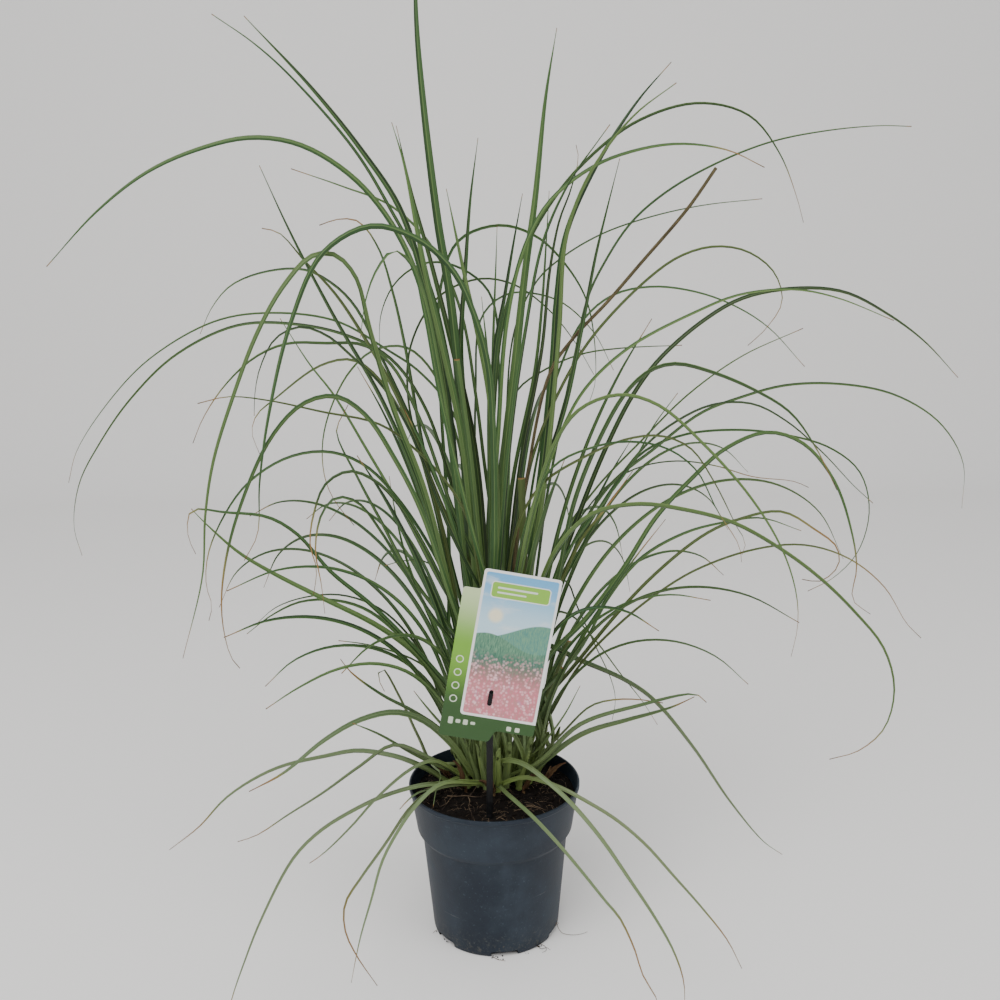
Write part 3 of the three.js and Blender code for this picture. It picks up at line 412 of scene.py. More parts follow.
# Usual width of the blade, depth (Y) of its tip, and X, Z of the points that it passes, from low to tip.
# They lie on the upright plane through the pot's axis, as it looks from the camera's place.
# A cut leaf ends blunt, a dry one stands by itself, and a lower power sends a leaf forward sooner.
drawnLeaves = [
    # tall ones that rise past the rest on the left
    [11, 40, [-22, 420, -33, 620, -44, 700, -54, 800, -58, 870, -56, 958]],
    [6, 90, [-20, 420, -33, 545, -52, 640, -85, 707, -115, 758, -169, 821, -200, 849, -235, 873]],
    [10, 55, [-25, 420, -38, 545, -56, 640, -78, 710, -109, 758, -150, 810, -207, 871]],
    [8.5, -50, [-28, 420, -45, 560, -62, 645, -85, 696, -118, 736, -163, 764, -207, 771, -257, 761,
        -303, 742, -350, 709, -399, 662]],
    [5, 120, [0, 420, -12, 540, -25, 620, -50, 676, -85, 711, -127, 728, -173, 744]],
    [6.5, -40, [-28, 300, -60, 430, -97, 532, -142, 617, -177, 690, -201, 747]],
    [5.5, 30, [-35, 330, -84, 432, -115, 490, -145, 544, -165, 571, -190, 613]],
    # broad arching ones on the left, some to the front
    [8.5, -150, [-35, 330, -62, 450, -90, 532, -108, 600, -120, 650, -138, 669, -158, 668, -185, 642,
        -212, 599, -239, 538, -260, 481, -271, 430, -278, 370, -303, 287]],
    [9, -130, [0, 300, 4, 480, 0, 568, -13, 617, -30, 653, -60, 681, -103, 694, -148, 671, -181, 608,
        -206, 523, -218, 460, -223, 410, -237, 385]],
    [6, 90, [-40, 430, -75, 523, -100, 580, -121, 623, -140, 643, -165, 656, -200, 655, -233, 643,
        -252, 623, -264, 600]],
    [7, 30, [-45, 430, -85, 540, -116, 599, -139, 635, -165, 664, -187, 689, -202, 693]],
    [4, 150, [-10, 430, -33, 523, -63, 562, -94, 584, -139, 610, -200, 618, -250, 611, -312, 578, -355, 537,
        -388, 492, -398, 463]],
    [5, 60, [-30, 430, -60, 530, -90, 575, -130, 597, -180, 608, -230, 607, -288, 581, -333, 541, -366, 499,
        -388, 462, -397, 420, -392, 392]],
    [5.5, -30, [-35, 430, -65, 520, -90, 570, -115, 588, -150, 590, -185, 590, -215, 578, -245, 552,
        -267, 522, -278, 499]],
    [5, -90, [-40, 420, -75, 510, -100, 552, -125, 577, -148, 597, -172, 605, -195, 595, -211, 568,
        -217, 545, -219, 524]],
    [4.5, -80, [-5, 330, -21, 420, -42, 458, -72, 491, -103, 514, -157, 527, -205, 538, -242, 542,
        -271, 536]],
    [7, -170, [-35, 330, -66, 432, -90, 483, -115, 523, -142, 541, -172, 535, -203, 505, -236, 441,
        -256, 379, -262, 330, -256, 288, -248, 276]],
    [5, -60, [-30, 330, -55, 390, -88, 444, -118, 476, -151, 489, -190, 484, -230, 459, -258, 421,
        -272, 388, -275, 360, -271, 340, -275, 325]],
    [5.5, 20, [-30, 300, -80, 372, -104, 421, -124, 462, -143, 509, -136, 524, -131, 533]],
    [4.5, 110, [-10, 380, -30, 500, -50, 560, -75, 585, -105, 583, -127, 565, -145, 535, -156, 500,
        -156, 466, -148, 443, -130, 418]],
    [5.5, -70, [-30, 320, -60, 390, -88, 440, -109, 462, -132, 471, -155, 459, -168, 430, -173, 400,
        -168, 375, -172, 350]],
    [5.5, -120, [-25, 280, -60, 330, -85, 375, -105, 412, -127, 441, -146, 445, -160, 430, -168, 395,
        -164, 360, -162, 331]],
    # low ones on the left
    [7, -60, [-20, 215, -54, 264, -84, 303, -118, 340, -154, 372, -185, 410, -212, 427, -251, 432,
        -284, 434, -289, 410, -283, 392]],
    [8.5, -20, [-22, 190, -48, 246, -72, 285, -109, 316, -169, 349, -212, 373, -242, 393, -270, 420,
        -284, 436]],
    [6, 50, [-25, 190, -63, 270, -90, 307, -121, 334, -151, 344, -185, 343, -215, 329, -239, 311]],
    [4, 100, [-15, 200, -50, 255, -78, 303, -109, 335, -145, 349, -182, 347, -210, 337, -228, 322]],
    [5.5, -40, [-30, 175, -51, 207, -78, 228, -109, 246, -139, 270, -149, 284]],
    [5.5, -90, [-20, 165, -54, 241, -84, 270, -118, 279, -154, 273, -193, 254, -225, 233]],
    [5, 0, [-62, 165, -75, 200, -92, 243, -109, 274, -113, 266, -107, 250]],
    [3.5, 60, [-15, 200, -50, 258, -72, 279, -97, 291, -124, 299, -150, 303]],
    [8.5, -70, [-25, 165, -45, 195, -70, 219, -97, 228, -133, 220, -169, 199, -212, 164, -247, 145]],
    [7, -30, [-40, 150, -72, 166, -109, 181, -138, 187, -169, 182, -212, 172, -242, 158, -272, 137,
        -300, 107, -332, 82]],
    [5.5, -90, [-30, 155, -66, 180, -100, 194, -136, 170, -172, 143, -209, 119, -242, 97, -262, 90]],
    [5.5, -40, [-28, 150, -55, 170, -84, 185, -115, 205, -140, 217]],
    [4.5, -120, [-30, 160, -60, 176, -82, 168, -118, 137, -145, 106, -175, 76, -190, 65]],
    [4.5, 10, [-15, 165, -45, 205, -69, 237, -78, 250]],
    [3.5, 40, [-30, 330, -60, 380, -80, 383, -102, 378]],
    [4.5, 10, [-50, 300, -80, 380, -92, 440, -95, 465]],
    # over the rim to the front, left of the label
    [5.5, -250, [-25, 152, -66, 155, -105, 141, -142, 123, -178, 100, -206, 71, -243, 2, -265, -51,
        -279, -89, -291, -132]],
    [5, -190, [-20, 146, -55, 143, -85, 120, -110, 87, -139, 47, -156, 18, -157, -12, -147, -40,
        -126, -77], {"power": 0.84}],
    [5.5, -180, [-22, 152, -55, 150, -80, 127, -100, 97, -116, 65, -128, 24, -141, -19, -150, -58,
        -153, -73], {"power": 0.84}],
    [4, -60, [-25, 150, -57, 145, -80, 133, -96, 119]],
    [3.5, -50, [-20, 146, -45, 158, -58, 145, -62, 126]],
    # over the rim to the front, right of the label
    [5, -270, [2, 140, 14, 138, 40, 112, 67, 80, 92, 47, 116, 14, 127, 0, 143, -36, 153, -69, 168, -98,
        172, -126], {"power": 0.6}],
    [6, -250, [8, 175, 28, 172, 50, 155, 79, 126, 107, 90, 137, 43, 164, -1, 185, -42, 196, -78,
        197, -122]],
    [5.5, -200, [10, 152, 32, 158, 58, 149, 88, 131, 122, 109, 152, 82, 182, 46, 213, 8, 240, -29,
        256, -62]],
    # upright ones in the middle
    [9, -10, [-8, 330, -24, 496, -43, 593, -57, 659, -72, 746, -82, 782]],
    [8, 50, [0, 330, -15, 500, -36, 600, -50, 660, -66, 722, -78, 779]],
    [8, -20, [8, 330, 2, 526, -7, 587, -19, 644, -35, 725]],
    [7.5, 60, [-12, 330, -20, 500, -25, 580, -19, 660, -14, 714, -6, 768]],
    [10, -10, [5, 330, 14, 480, 24, 562, 35, 653, 44, 714, 54, 801, 64, 858]],
    [5, 90, [2, 330, 2, 480, 5, 590, 8, 650, 10, 693]],
    [7, 20, [0, 330, 2, 500, 7, 585, 16, 630, 24, 674, 33, 720]],
    [6, -10, [-2, 330, 0, 500, 0, 570, -5, 630]],
    [5, -20, [-5, 330, -18, 480, -29, 574], {"end": "cut"}],
    [6.5, 0, [20, 200, 29, 330, 30, 400, 30, 462], {"end": "cut"}],
    # tall ones on the right
    [10, 30, [28, 330, 50, 480, 60, 568, 64, 629, 72, 684, 97, 740, 134, 796, 164, 829]],
    [7, -40, [35, 330, 55, 480, 66, 600, 72, 680, 86, 722, 105, 754, 134, 787, 169, 812]],
    [8, 90, [-5, 330, 2, 480, 11, 590, 22, 636, 38, 678, 60, 714, 88, 746, 134, 780, 188, 795, 234, 784,
        262, 752, 279, 714, 286, 692]],
    [8, -30, [0, 330, 8, 500, 18, 610, 35, 675, 58, 714, 97, 743, 134, 756, 173, 761, 216, 755, 249, 740]],
    [5.5, 100, [30, 330, 60, 480, 80, 575, 92, 628, 107, 659, 131, 694, 162, 720, 204, 743, 252, 761,
        300, 770, 350, 774, 378, 773]],
    [4.5, 150, [5, 330, 15, 500, 25, 600, 46, 644, 70, 665, 104, 684, 146, 698, 195, 708, 248, 713]],
    [4, -20, [20, 330, 38, 480, 58, 562, 80, 593, 110, 624, 140, 658, 182, 706, 206, 740],
        {"end": "cut", "dry": True}],
    [6.5, 30, [15, 330, 40, 480, 64, 541, 94, 590, 143, 641, 176, 664, 207, 672, 237, 667, 262, 648,
        270, 622, 256, 598, 240, 583]],
    [6, 80, [20, 330, 45, 480, 65, 560, 88, 608, 115, 630, 149, 637, 186, 633, 222, 621,
        257, 600, 293, 563]],
    [6.5, -20, [25, 330, 48, 450, 72, 530, 87, 602, 99, 665, 108, 702, 120, 749]],
    [5.5, 60, [10, 330, 30, 480, 50, 583, 57, 650, 66, 696, 76, 722, 83, 750, 81, 761]],
    [5.5, 100, [8, 330, 22, 460, 43, 560, 50, 620, 55, 690, 57, 722]],
    [5.5, -80, [5, 330, 20, 500, 35, 600, 52, 680, 76, 731, 98, 761, 111, 778]],
    # long arching ones on the right
    [10, 30, [30, 250, 55, 340, 86, 430, 110, 490, 134, 538, 158, 571, 198, 606, 234, 626, 283, 634,
        326, 630, 365, 611, 402, 585, 436, 551]],
    [7, -60, [20, 330, 45, 440, 70, 511, 92, 548, 131, 583, 191, 614, 231, 629, 280, 633, 320, 625,
        373, 604]],
    [4.5, 120, [0, 330, 10, 480, 25, 542, 52, 563, 86, 577, 122, 582, 179, 584]],
    [4.5, 70, [25, 300, 60, 390, 100, 450, 143, 496, 185, 538, 234, 573, 290, 598]],
    [6, -20, [35, 300, 75, 390, 110, 440, 137, 478, 155, 511, 176, 540]],
    [10, -60, [35, 250, 60, 340, 80, 438, 104, 499, 128, 541, 150, 561, 173, 567, 207, 559, 249, 541,
        282, 520, 307, 487, 329, 446]],
    [6, 70, [35, 280, 75, 390, 113, 453, 155, 488, 198, 521, 234, 535, 277, 546, 331, 546, 380, 535,
        423, 508, 447, 470, 449, 427]],
    [8, -150, [20, 330, 40, 430, 62, 495, 85, 526, 122, 539, 158, 529, 203, 490, 249, 438, 280, 388,
        295, 345, 298, 312, 293, 281]],
    [5, -90, [15, 330, 35, 420, 60, 472, 97, 490, 131, 495, 167, 488, 195, 467, 216, 428, 238, 393,
        241, 377]],
    [6, -50, [10, 330, 28, 420, 52, 457, 88, 480, 128, 497, 161, 500, 189, 488, 212, 456, 235, 412,
        244, 396, 241, 384]],
    [4, 110, [25, 300, 60, 380, 110, 452, 140, 470, 176, 476, 213, 471, 249, 460, 288, 455, 302, 449]],
    [9.5, -30, [35, 230, 55, 280, 92, 322, 128, 373, 158, 422, 191, 459, 222, 487, 261, 502, 295, 491,
        326, 455, 345, 406, 352, 370, 350, 338, 368, 323]],
    [5, 90, [45, 300, 90, 400, 140, 481, 179, 500, 228, 505, 276, 500, 320, 487, 350, 463, 361, 425,
        352, 385, 330, 360, 306, 347]],
    [5, 20, [40, 300, 85, 400, 143, 487, 176, 514, 210, 529, 246, 529, 279, 512, 314, 482, 345, 450,
        364, 433]],
    [8, 40, [28, 180, 50, 225, 75, 280, 107, 334, 143, 381, 185, 406, 222, 416, 258, 420, 297, 407]],
    [5, 10, [25, 170, 55, 225, 86, 276, 128, 320, 161, 347, 198, 370, 252, 389, 300, 393, 344, 379,
        380, 350, 404, 313, 419, 298]],
    [7.5, -150, [15, 250, 40, 340, 65, 395, 97, 426, 140, 435, 185, 429, 231, 416, 277, 390, 317, 360,
        353, 325, 383, 288, 396, 246, 389, 205, 365, 181, 336, 172]],
    [7, 30, [20, 170, 50, 225, 80, 270, 113, 316, 158, 366, 204, 404, 234, 418, 277, 426, 310, 408,
        332, 390, 334, 372, 318, 357, 300, 359]],
    [6.5, -20, [30, 280, 60, 345, 86, 400, 110, 432, 135, 467]],
    [6, -10, [25, 190, 60, 250, 86, 288, 110, 337, 134, 376, 167, 420]],
    # low ones on the right
    [7, -60, [22, 155, 45, 175, 87, 213, 146, 232, 195, 243, 204, 241, 211, 234]],
    [8, -40, [22, 150, 50, 178, 86, 203, 131, 216, 176, 229, 199, 240]],
    [8.5, 80, [12, 220, 28, 280, 52, 295, 85, 280, 131, 258, 158, 238, 198, 188, 238, 127, 274, 82,
        293, 68]],
    [3.5, 110, [10, 230, 38, 315, 70, 329, 98, 303, 125, 266, 149, 234, 163, 211]],
    [3, 140, [8, 250, 40, 345, 70, 362, 84, 332, 101, 294, 117, 258, 121, 238, 118, 217]],
    [7, 20, [20, 160, 40, 210, 62, 262, 75, 300], {"end": "cut"}],
    [6, 0, [22, 155, 40, 205, 69, 272], {"end": "cut"}],
    [3.5, -20, [25, 155, 46, 189, 70, 222, 86, 253]],
    [3.5, -30, [22, 150, 46, 181, 70, 206, 97, 232, 119, 238, 143, 238, 168, 234]],
    # thin ones that arch over at the back
    [5, 160, [-40, 420, -45, 560, -42, 640, -25, 680, 12, 693, 45, 683, 70, 660, 90, 628, 98, 592, 99, 550,
        94, 533]],
    [4, 170, [5, 420, 10, 560, 3, 632, -24, 656, -54, 661, -81, 646, -97, 617, -100, 575]],
    [4, 190, [-50, 420, -75, 540, -70, 590, -45, 630, -8, 646, 24, 641, 55, 619, 79, 590, 98, 558]],
    [4, 140, [-15, 420, -12, 540, -5, 612, 18, 632, 45, 632, 70, 623, 98, 596, 116, 562]],
    [6, -90, [-20, 420, -45, 540, -58, 620, -68, 660, -84, 672, -100, 655, -111, 628, -117, 595]],
    [5.5, 40, [-30, 330, -60, 470, -98, 552, -124, 574, -154, 570, -198, 540, -217, 524, -222, 508,
        -216, 488]],
    [5.5, 60, [-25, 330, -60, 480, -77, 590, -86, 635, -98, 675, -115, 698, -133, 700, -150, 695]],
]

# How many, where they point (degrees from +X towards +Y), how long, and how far they bow over
fillLeaves = [
    {"count": 18, "from": 18, "to": 162, "shortest": 360, "longest": 640, "bowed": 2.3},
    {"count": 8, "from": 0, "to": 360, "shortest": 330, "longest": 560, "bowed": 0.5},
    {"count": 4, "from": -165, "to": -120, "shortest": 300, "longest": 420, "bowed": 1.9},
    {"count": 4, "from": -58, "to": -15, "shortest": 300, "longest": 420, "bowed": 1.9},
]
fillShape = {
    "lean": (0.06, 0.26),
    "bowSpread": (0.75, 1.25),
    "width": (5, 9),
    "outerReach": 0.85,
    "innerReach": 0.4,
    "steps": 9,
    "bowPower": 1.7,
    "seed": 4127,
}
dryLeafPlace = {"reach": 1.17, "turn": 0.7}
drySheaths = {
    "count": 5,
    "reach": 1.2,
    "firstTurn": -2.9,
    "turnStep": 0.62,
    "width": 6,
    "shortest": 34,
    "longest": 62,
    "lean": 0.2,  # radians
    "leanSpread": 0.3,
    "bowed": 0.8,
}

# Length of the dead tip of a drawn leaf in mm, by its place in the list, and which are painted lighter and
# which darker; the darker ones stand in shadow and carry painted shade
deadTips = {
    3: 8, 4: 25, 7: 30, 8: 40, 9: 10, 10: 20, 11: 40, 12: 15, 13: 60, 15: 30, 16: 100, 17: 80, 18: 30,
    19: 90, 20: 80, 21: 80, 22: 50, 26: 40, 30: 35, 31: 60, 32: 40, 38: 40, 39: 100, 40: 30, 41: 15,
    43: 95, 44: 60, 45: 60, 54: 1, 55: 1, 58: 60, 59: 50, 63: 70, 64: 15, 66: 25, 74: 45, 75: 25,
    76: 50, 77: 50, 79: 120, 80: 80, 81: 30, 84: 130, 85: 60, 86: 130, 87: 60, 88: 50, 89: 12, 90: 25,
    94: 1, 95: 1, 97: 60, 103: 50, 104: 60,
}
lightLeaves = {7, 16, 23, 27, 35, 42, 43, 44, 46, 48, 50, 57, 70, 76, 85, 96}
shadedLeaves = {1, 2, 9, 14, 25, 29, 32, 34, 49, 56, 61, 66, 69, 71, 77, 82, 91, 92, 93}
oliveLeaves = {10, 15, 28, 39, 45, 55, 63, 78, 84, 86, 87, 94, 97, 103}

eye = np.array(view["place"], float)
upward = np.array((0.0, 0.0, 1.0))


def evenDraws(seed):
    # even draws from 0 to 1, the same at every run
    state = [seed]

    def draw():
        state[0] = state[0] * 16807 % 2147483647
        return state[0] / 2147483647

    return draw


def between(low, high, share):
    return (1 - share) * low + share * high


def unit(vectors):
    return vectors / np.linalg.norm(vectors, axis=-1, keepdims=True)


def atDepth(x, z, y):
    # the point at depth y on the line of sight through (x, 0, z)
    along = (y - eye[1]) / -eye[1]
    return [eye[0] + (x - eye[0]) * along, y, eye[2] + (z - eye[2]) * along]


def crownPlace(reach, turn):
    return np.array((
        crown["x"] + crown["halfWidth"] * reach * math.cos(turn),
        crown["y"] + crown["halfDepth"] * reach * math.sin(turn),
        crown["soilTop"],
    ))


def extraOf(row):
    return row[3] if len(row) > 3 else {}


def drawnPoints(row, foot):
    tipDepth, path = row[1], np.array(row[2], float).reshape(-1, 2)
    power = extraOf(row).get("power", blade["depthPower"])
    lengths = np.concatenate(([0], np.cumsum(np.linalg.norm(np.diff(path, axis=0), axis=1))))
    rise = path[0, 1] - crown["soilTop"]
    shares = np.maximum(lengths + rise, 0) / (lengths[-1] + rise)
    depths = foot[1] + (tipDepth - foot[1]) * shares**power
    return np.array([atDepth(x, z, y) for (x, z), y in zip(path, depths)])


def wantedFoot(row):
    path = row[2]
    slope = (path[2] - path[0]) / max(path[3] - path[1], 60)
    x = path[0] - slope * (path[1] - crown["soilTop"]) * crown["back"]
    half = crown["halfWidth"] * crown["footReach"]
    y = crown["y"] + crown["halfDepth"] * min(max(row[1] / crown["depthReach"], -1), 1)
    return min(max(x, crown["x"] - half), crown["x"] + half), y


def archPoints(foot, heading, length, lean, bow):
    # out of the crown steeply, then bowing over more and more towards the tip
    steps = fillShape["steps"]
    at = foot.astype(float)
    outward = np.array((math.cos(heading), math.sin(heading), 0.0))
    points = []
    for i in range(1, steps + 1):
        tilt = lean + bow * ((i - 0.5) / steps) ** fillShape["bowPower"]
        at = at + (outward * math.sin(tilt) + upward * math.cos(tilt)) * length / steps
        points.append(at)
    return np.array(points[1:])


def sidewaysShare(points):
    tip = points[-1]
    return abs(tip[0]) / (abs(tip[0]) + tip[2])


def archShare(points):
    # 0 for a blade that stands upright, 1 for one that arches away sideways
    share = (sidewaysShare(points) - blade["archFrom"]) / (blade["archTo"] - blade["archFrom"])
    return min(max(share, 0), 1)


def bladeWidth(usual, points):
    return usual * between(blade["upright"], blade["arching"], archShare(points))


def nearestShoot(shoots, wanted):
    free = [shoot for shoot in shoots if len(shoot["leaves"]) < crown["leavesEach"]]

    def away(shoot):
        x, y = shoot["foot"][:2]
        return math.hypot(x - wanted[0], y - wanted[1]) + len(shoot["leaves"]) * crown["crowding"]

    return min(free, key=away)


def growShoots():
    goldenAngle = math.pi * (3 - math.sqrt(5))
    shoots = []
    for i in range(crown["shoots"]):
        foot = crownPlace(math.sqrt((i + 0.5) / crown["shoots"]), i * goldenAngle)
        shoots.append({"foot": foot, "leaves": [], "node": f"shoot_{i + 1:02d}"})
    foot = crownPlace(dryLeafPlace["reach"], dryLeafPlace["turn"])
    dry = {"foot": foot, "leaves": [], "node": "dry_leaf"}
    for place, row in enumerate(drawnLeaves):
        extra = extraOf(row)
        shoot = dry if extra.get("dry") else nearestShoot(shoots, wantedFoot(row))
        points = drawnPoints(row, shoot["foot"])
        width = bladeWidth(row[0], points)
        leaf = {"width": width, "cut": extra.get("end") == "cut", "points": points, "place": place}
        shoot["leaves"].append(leaf)
    draw = evenDraws(fillShape["seed"])
    for group in fillLeaves:
        for i in range(group["count"]):
            degrees = group["from"] + (group["to"] - group["from"]) * (i + draw()) / group["count"]
            heading = math.radians(degrees)
            length = group["shortest"] + (group["longest"] - group["shortest"]) * draw()
            lean = between(*fillShape["lean"], draw())
            bow = group["bowed"] * between(*fillShape["bowSpread"], draw())
            reach = fillShape["outerReach"] if group["bowed"] > 1 else fillShape["innerReach"]
            shoot = nearestShoot(shoots, crownPlace(reach, heading)[:2])
            usual = between(*fillShape["width"], draw())
            points = archPoints(shoot["foot"], heading, length, lean, bow)
            width = bladeWidth(usual, points)
            shoot["leaves"].append({"width": width, "cut": False, "points": points, "place": None})
    grown = [shoot for shoot in shoots if shoot["leaves"]] + [dry]
    draw = evenDraws(fillShape["seed"] + 2)
    for i in range(drySheaths["count"]):
        turn = drySheaths["firstTurn"] + drySheaths["turnStep"] * i
        foot = crownPlace(drySheaths["reach"], turn)
        length = drySheaths["shortest"] + (drySheaths["longest"] - drySheaths["shortest"]) * draw()
        heading = turn + draw() - 0.5
        lean = drySheaths["lean"] + drySheaths["leanSpread"] * draw()
        points = archPoints(foot, heading, length, lean, drySheaths["bowed"])
        leaf = {"width": drySheaths["width"], "cut": True, "points": points, "place": None}
        grown.append({"foot": foot, "leaves": [leaf], "node": f"dry_sheath_{i + 1:02d}"})
    return grown


def neckHeight(leaf):
    height = (leaf["points"][0][2] - crown["soilTop"]) * crown["neckShare"]
    return min(max(height, crown["neckLow"]), crown["neckHigh"])


def stationCount(leaf):
    steps = unit(np.diff(leaf["points"], axis=0))
    turns = np.arccos(np.clip((steps[1:] * steps[:-1]).sum(1), -1, 1))
    rule = blade["stations"]
    count = math.floor(rule["base"] + turns.sum() * rule["perTurn"] + 0.5)
    return min(max(count, rule["least"]), rule["most"])


def throughPoints(points, shares):
    # a centripetal curve through the points, at these shares of its length
    padded = np.vstack((2 * points[0] - points[1], points, 2 * points[-1] - points[-2]))
    gaps = np.sqrt(np.linalg.norm(np.diff(padded, axis=0), axis=1))

    def at(steps):
        i = np.minimum(steps.astype(int), len(points) - 2)
        t = (steps - i)[:, None]
        p0, p1, p2, p3 = (padded[i + k] for k in range(4))
        d0, d1, d2 = (gaps[i + k][:, None] for k in range(3))
        m1 = ((p1 - p0) / d0 - (p2 - p0) / (d0 + d1) + (p2 - p1) / d1) * d1
        m2 = ((p2 - p1) / d1 - (p3 - p1) / (d1 + d2) + (p3 - p2) / d2) * d1
        c2 = -3 * p1 + 3 * p2 - 2 * m1 - m2
        c3 = 2 * p1 - 2 * p2 + m1 + m2
        return p1 + m1 * t + c2 * t**2 + c3 * t**3

    grid = np.linspace(0, len(points) - 1, 201)
    lengths = np.concatenate(([0], np.cumsum(np.linalg.norm(np.diff(at(grid), axis=0), axis=1))))
    return at(np.interp(np.asarray(shares) * lengths[-1], lengths, grid))


def setLeafLine(leaf, shoot):
    foot, points = shoot["foot"], leaf["points"]
    towards = (points[0] - foot) * (1, 1, 0)
    length = np.linalg.norm(towards)
    towards = towards / (length or 1) * min(blade["offset"], length)
    root = foot + upward * crown["collar"] + towards
    neck = root + shoot["axis"] * (neckHeight(leaf) - crown["collar"])
    near = blade["nearNeck"]
    later = [p for p in points if np.linalg.norm(p - neck) > near or p[2] > neck[2] + near]
    leaf["control"] = np.array([root, neck, *later])
    count = stationCount(leaf)
    shares = np.linspace(0, 1, count * 4 + 1)
    line = throughPoints(leaf["control"], shares)
    start = int(np.argmax(line[:, 2] >= neck[2] - 1))
    rest = len(line) - start
    picks = [start + math.floor(i * (rest - 1) / count + 0.5) for i in range(1, count + 1)]
    neckShare = np.linalg.norm(neck - root) / np.linalg.norm(np.diff(line, axis=0), axis=1).sum()
    leaf["shares"] = np.array([0, min(neckShare, shares[picks[0]] * 0.9), *shares[picks]])
    leaf["rest"] = np.vstack((root, neck, line[picks]))
    leaf["stations"] = leaf["rest"].copy()


def turned(vectors, axes, angles):
    c, s = np.cos(angles)[:, None], np.sin(angles)[:, None]
    along = (vectors * axes).sum(1)[:, None]
    return vectors * c + np.cross(axes, vectors) * s + axes * along * (1 - c)


def tangents(line):
    last = len(line) - 1
    before = np.maximum(np.arange(last + 1) - 1, 0)
    after = np.minimum(np.arange(last + 1) + 1, last)
    return unit(line[after] - line[before])


def setFrames(leaf):
    # across and keel directions at each station, facing the camera's place and then twisted
    line = leaf["rest"]
    along = tangents(line)
    square = np.zeros(3)
    squares = []
    for tangent, crosswise in zip(along, np.cross(along, unit(line - eye))):
        if crosswise @ square < 0:
            crosswise = -crosswise
        square = square * blade["steady"] + crosswise
        square = unit(square - tangent * (tangent @ square))
        squares.append(square)
    shares = np.arange(len(line)) / (len(line) - 1)
    leaf["across"] = turned(np.array(squares), along, between(*leaf["twist"], shares))
    keel = unit(np.cross(along, leaf["across"]))
    leaf["flip"] = -1 if keel[(len(line) - 1) // 2][2] > 0 else 1
    leaf["keel"] = keel * leaf["flip"]
    leaf["halves"] = halfWidths(leaf, shares, blade["tipWidth"])


def halfWidths(leaf, shares, tipWidth):
    base = min(leaf["width"], blade["baseWidth"])
    swell = between(base, leaf["width"], np.minimum(shares / blade["fullAt"], 1))
    if leaf["cut"]:
        return swell / 2
    tapered = np.maximum(shares - blade["taperFrom"], 0) / (1 - blade["taperFrom"])
    narrow = (1 - blade["narrowed"] * tapered) * (1 - tapered ** blade["closing"])
    return np.maximum(swell * narrow, tipWidth) / 2


def sheathStations(shoot):
    height = max(neckHeight(leaf) for leaf in shoot["leaves"]) + crown["overNeck"]
    collar = shoot["foot"] + upward * crown["collar"]
    return np.array([
        shoot["foot"] - upward * crown["root"],
        collar,
        collar + shoot["axis"] * height / 2,
        collar + shoot["axis"] * height,
    ])


def stakeMiddle(z):
    return stake["x"] + stake["lean"] * (z - crown["soilTop"])


stakeDepth = label["y"] + stake["gap"] + stake["thickness"] / 2


def makeLines(shoots):
    draw = evenDraws(fillShape["seed"] + 1)
    lines = []
    for owner, shoot in enumerate(shoots):
        foot = shoot["foot"]
        shoot["axis"] = unit(np.array((foot[0] - crown["x"], foot[1] - crown["y"], crown["spread"])))
        for leaf in shoot["leaves"]:
            sideways = sidewaysShare(leaf["points"])
            side = -1 if draw() < 0.5 else 1
            most = blade["twistLeast"] + blade["twistSideways"] * sideways
            footTwist = (2 * draw() - 1) * blade["twistFoot"]
            leaf["twist"] = (footTwist, side * most * between(blade["twistEven"], 1, draw()))
            setLeafLine(leaf, shoot)
            setFrames(leaf)
            leaf.update(owner=owner, radius=0, margin=leaf["width"] / 2 + 1)
            lines.append(leaf)
        radius = crown["radius"]
        stations = sheathStations(shoot)
        lines.append({"owner": owner, "stations": stations, "radius": radius, "margin": radius})
    radius = stake["width"] / 2 + clearing["stake"]
    stations = [(stakeMiddle(z), stakeDepth, z) for z in (stake["foot"], slot["z"], stake["top"])]
    lines.append({"owner": len(shoots), "stations": np.array(stations), "radius": radius, "margin": radius})
    return lines


def nearestShares(a, b, c, d):
    u, v, w = b - a, d - c, a - c
    uu, uv, vv = (u * u).sum(1), (u * v).sum(1), (v * v).sum(1)
    uw, vw = (u * w).sum(1), (v * w).sum(1)
    spread = uu * vv - uv * uv
    s = np.where(spread > 1e-9, np.clip((uv * vw - vv * uw) / np.maximum(spread, 1e-9), 0, 1), 0.5)
    t = np.clip((uv * s + vw) / vv, 0, 1)
    return np.clip((uv * t - uw) / uu, 0, 1), t


def onLabel(x, z):
    # from the pot's axes to the label's own, along its width and its height
    across, up = x - label["x"], z - label["z"]
    c, s = math.cos(label["turn"]), math.sin(label["turn"])
    return across * c + up * s, up * c - across * s


def wayFromHolder(points):
    # over the soil and the rim, outside the pot and behind the label
    move = np.zeros_like(points)
    radius = np.hypot(points[:, 0], points[:, 1])
    overSoil = radius < pot["rimRadius"] - pot["wall"] - clearing["pot"]
    top = crown["soilTop"] + soil["mound"] + soil["relief"] + clearing["soil"]
    floor = np.where(overSoil, top, pot["height"] + clearing["pot"])
    low = (radius < pot["rimRadius"] + clearing["pot"]) & (points[:, 2] < floor)
    above = points[:, 2] > crown["soilTop"]
    move[:, 2] = np.where(low & above, floor - points[:, 2], 0)
    outward = low & ~above
    reach = (pot["rimRadius"] + clearing["pot"] - radius) / np.maximum(radius, 1e-9)
    move[outward, :2] = points[outward, :2] * reach[outward, None]
    across, up = onLabel(points[:, 0], points[:, 2])
    room = clearing["label"]
    beside = (across > label["left"] - room) & (across < label["right"] + room)
    beside &= (up > label["bottom"] - room) & (up < label["top"] + room)
    beside &= points[:, 1] < label["y"] + room
    move[:, 1] = np.where(beside, label["y"] + room - points[:, 1], move[:, 1])
    return move


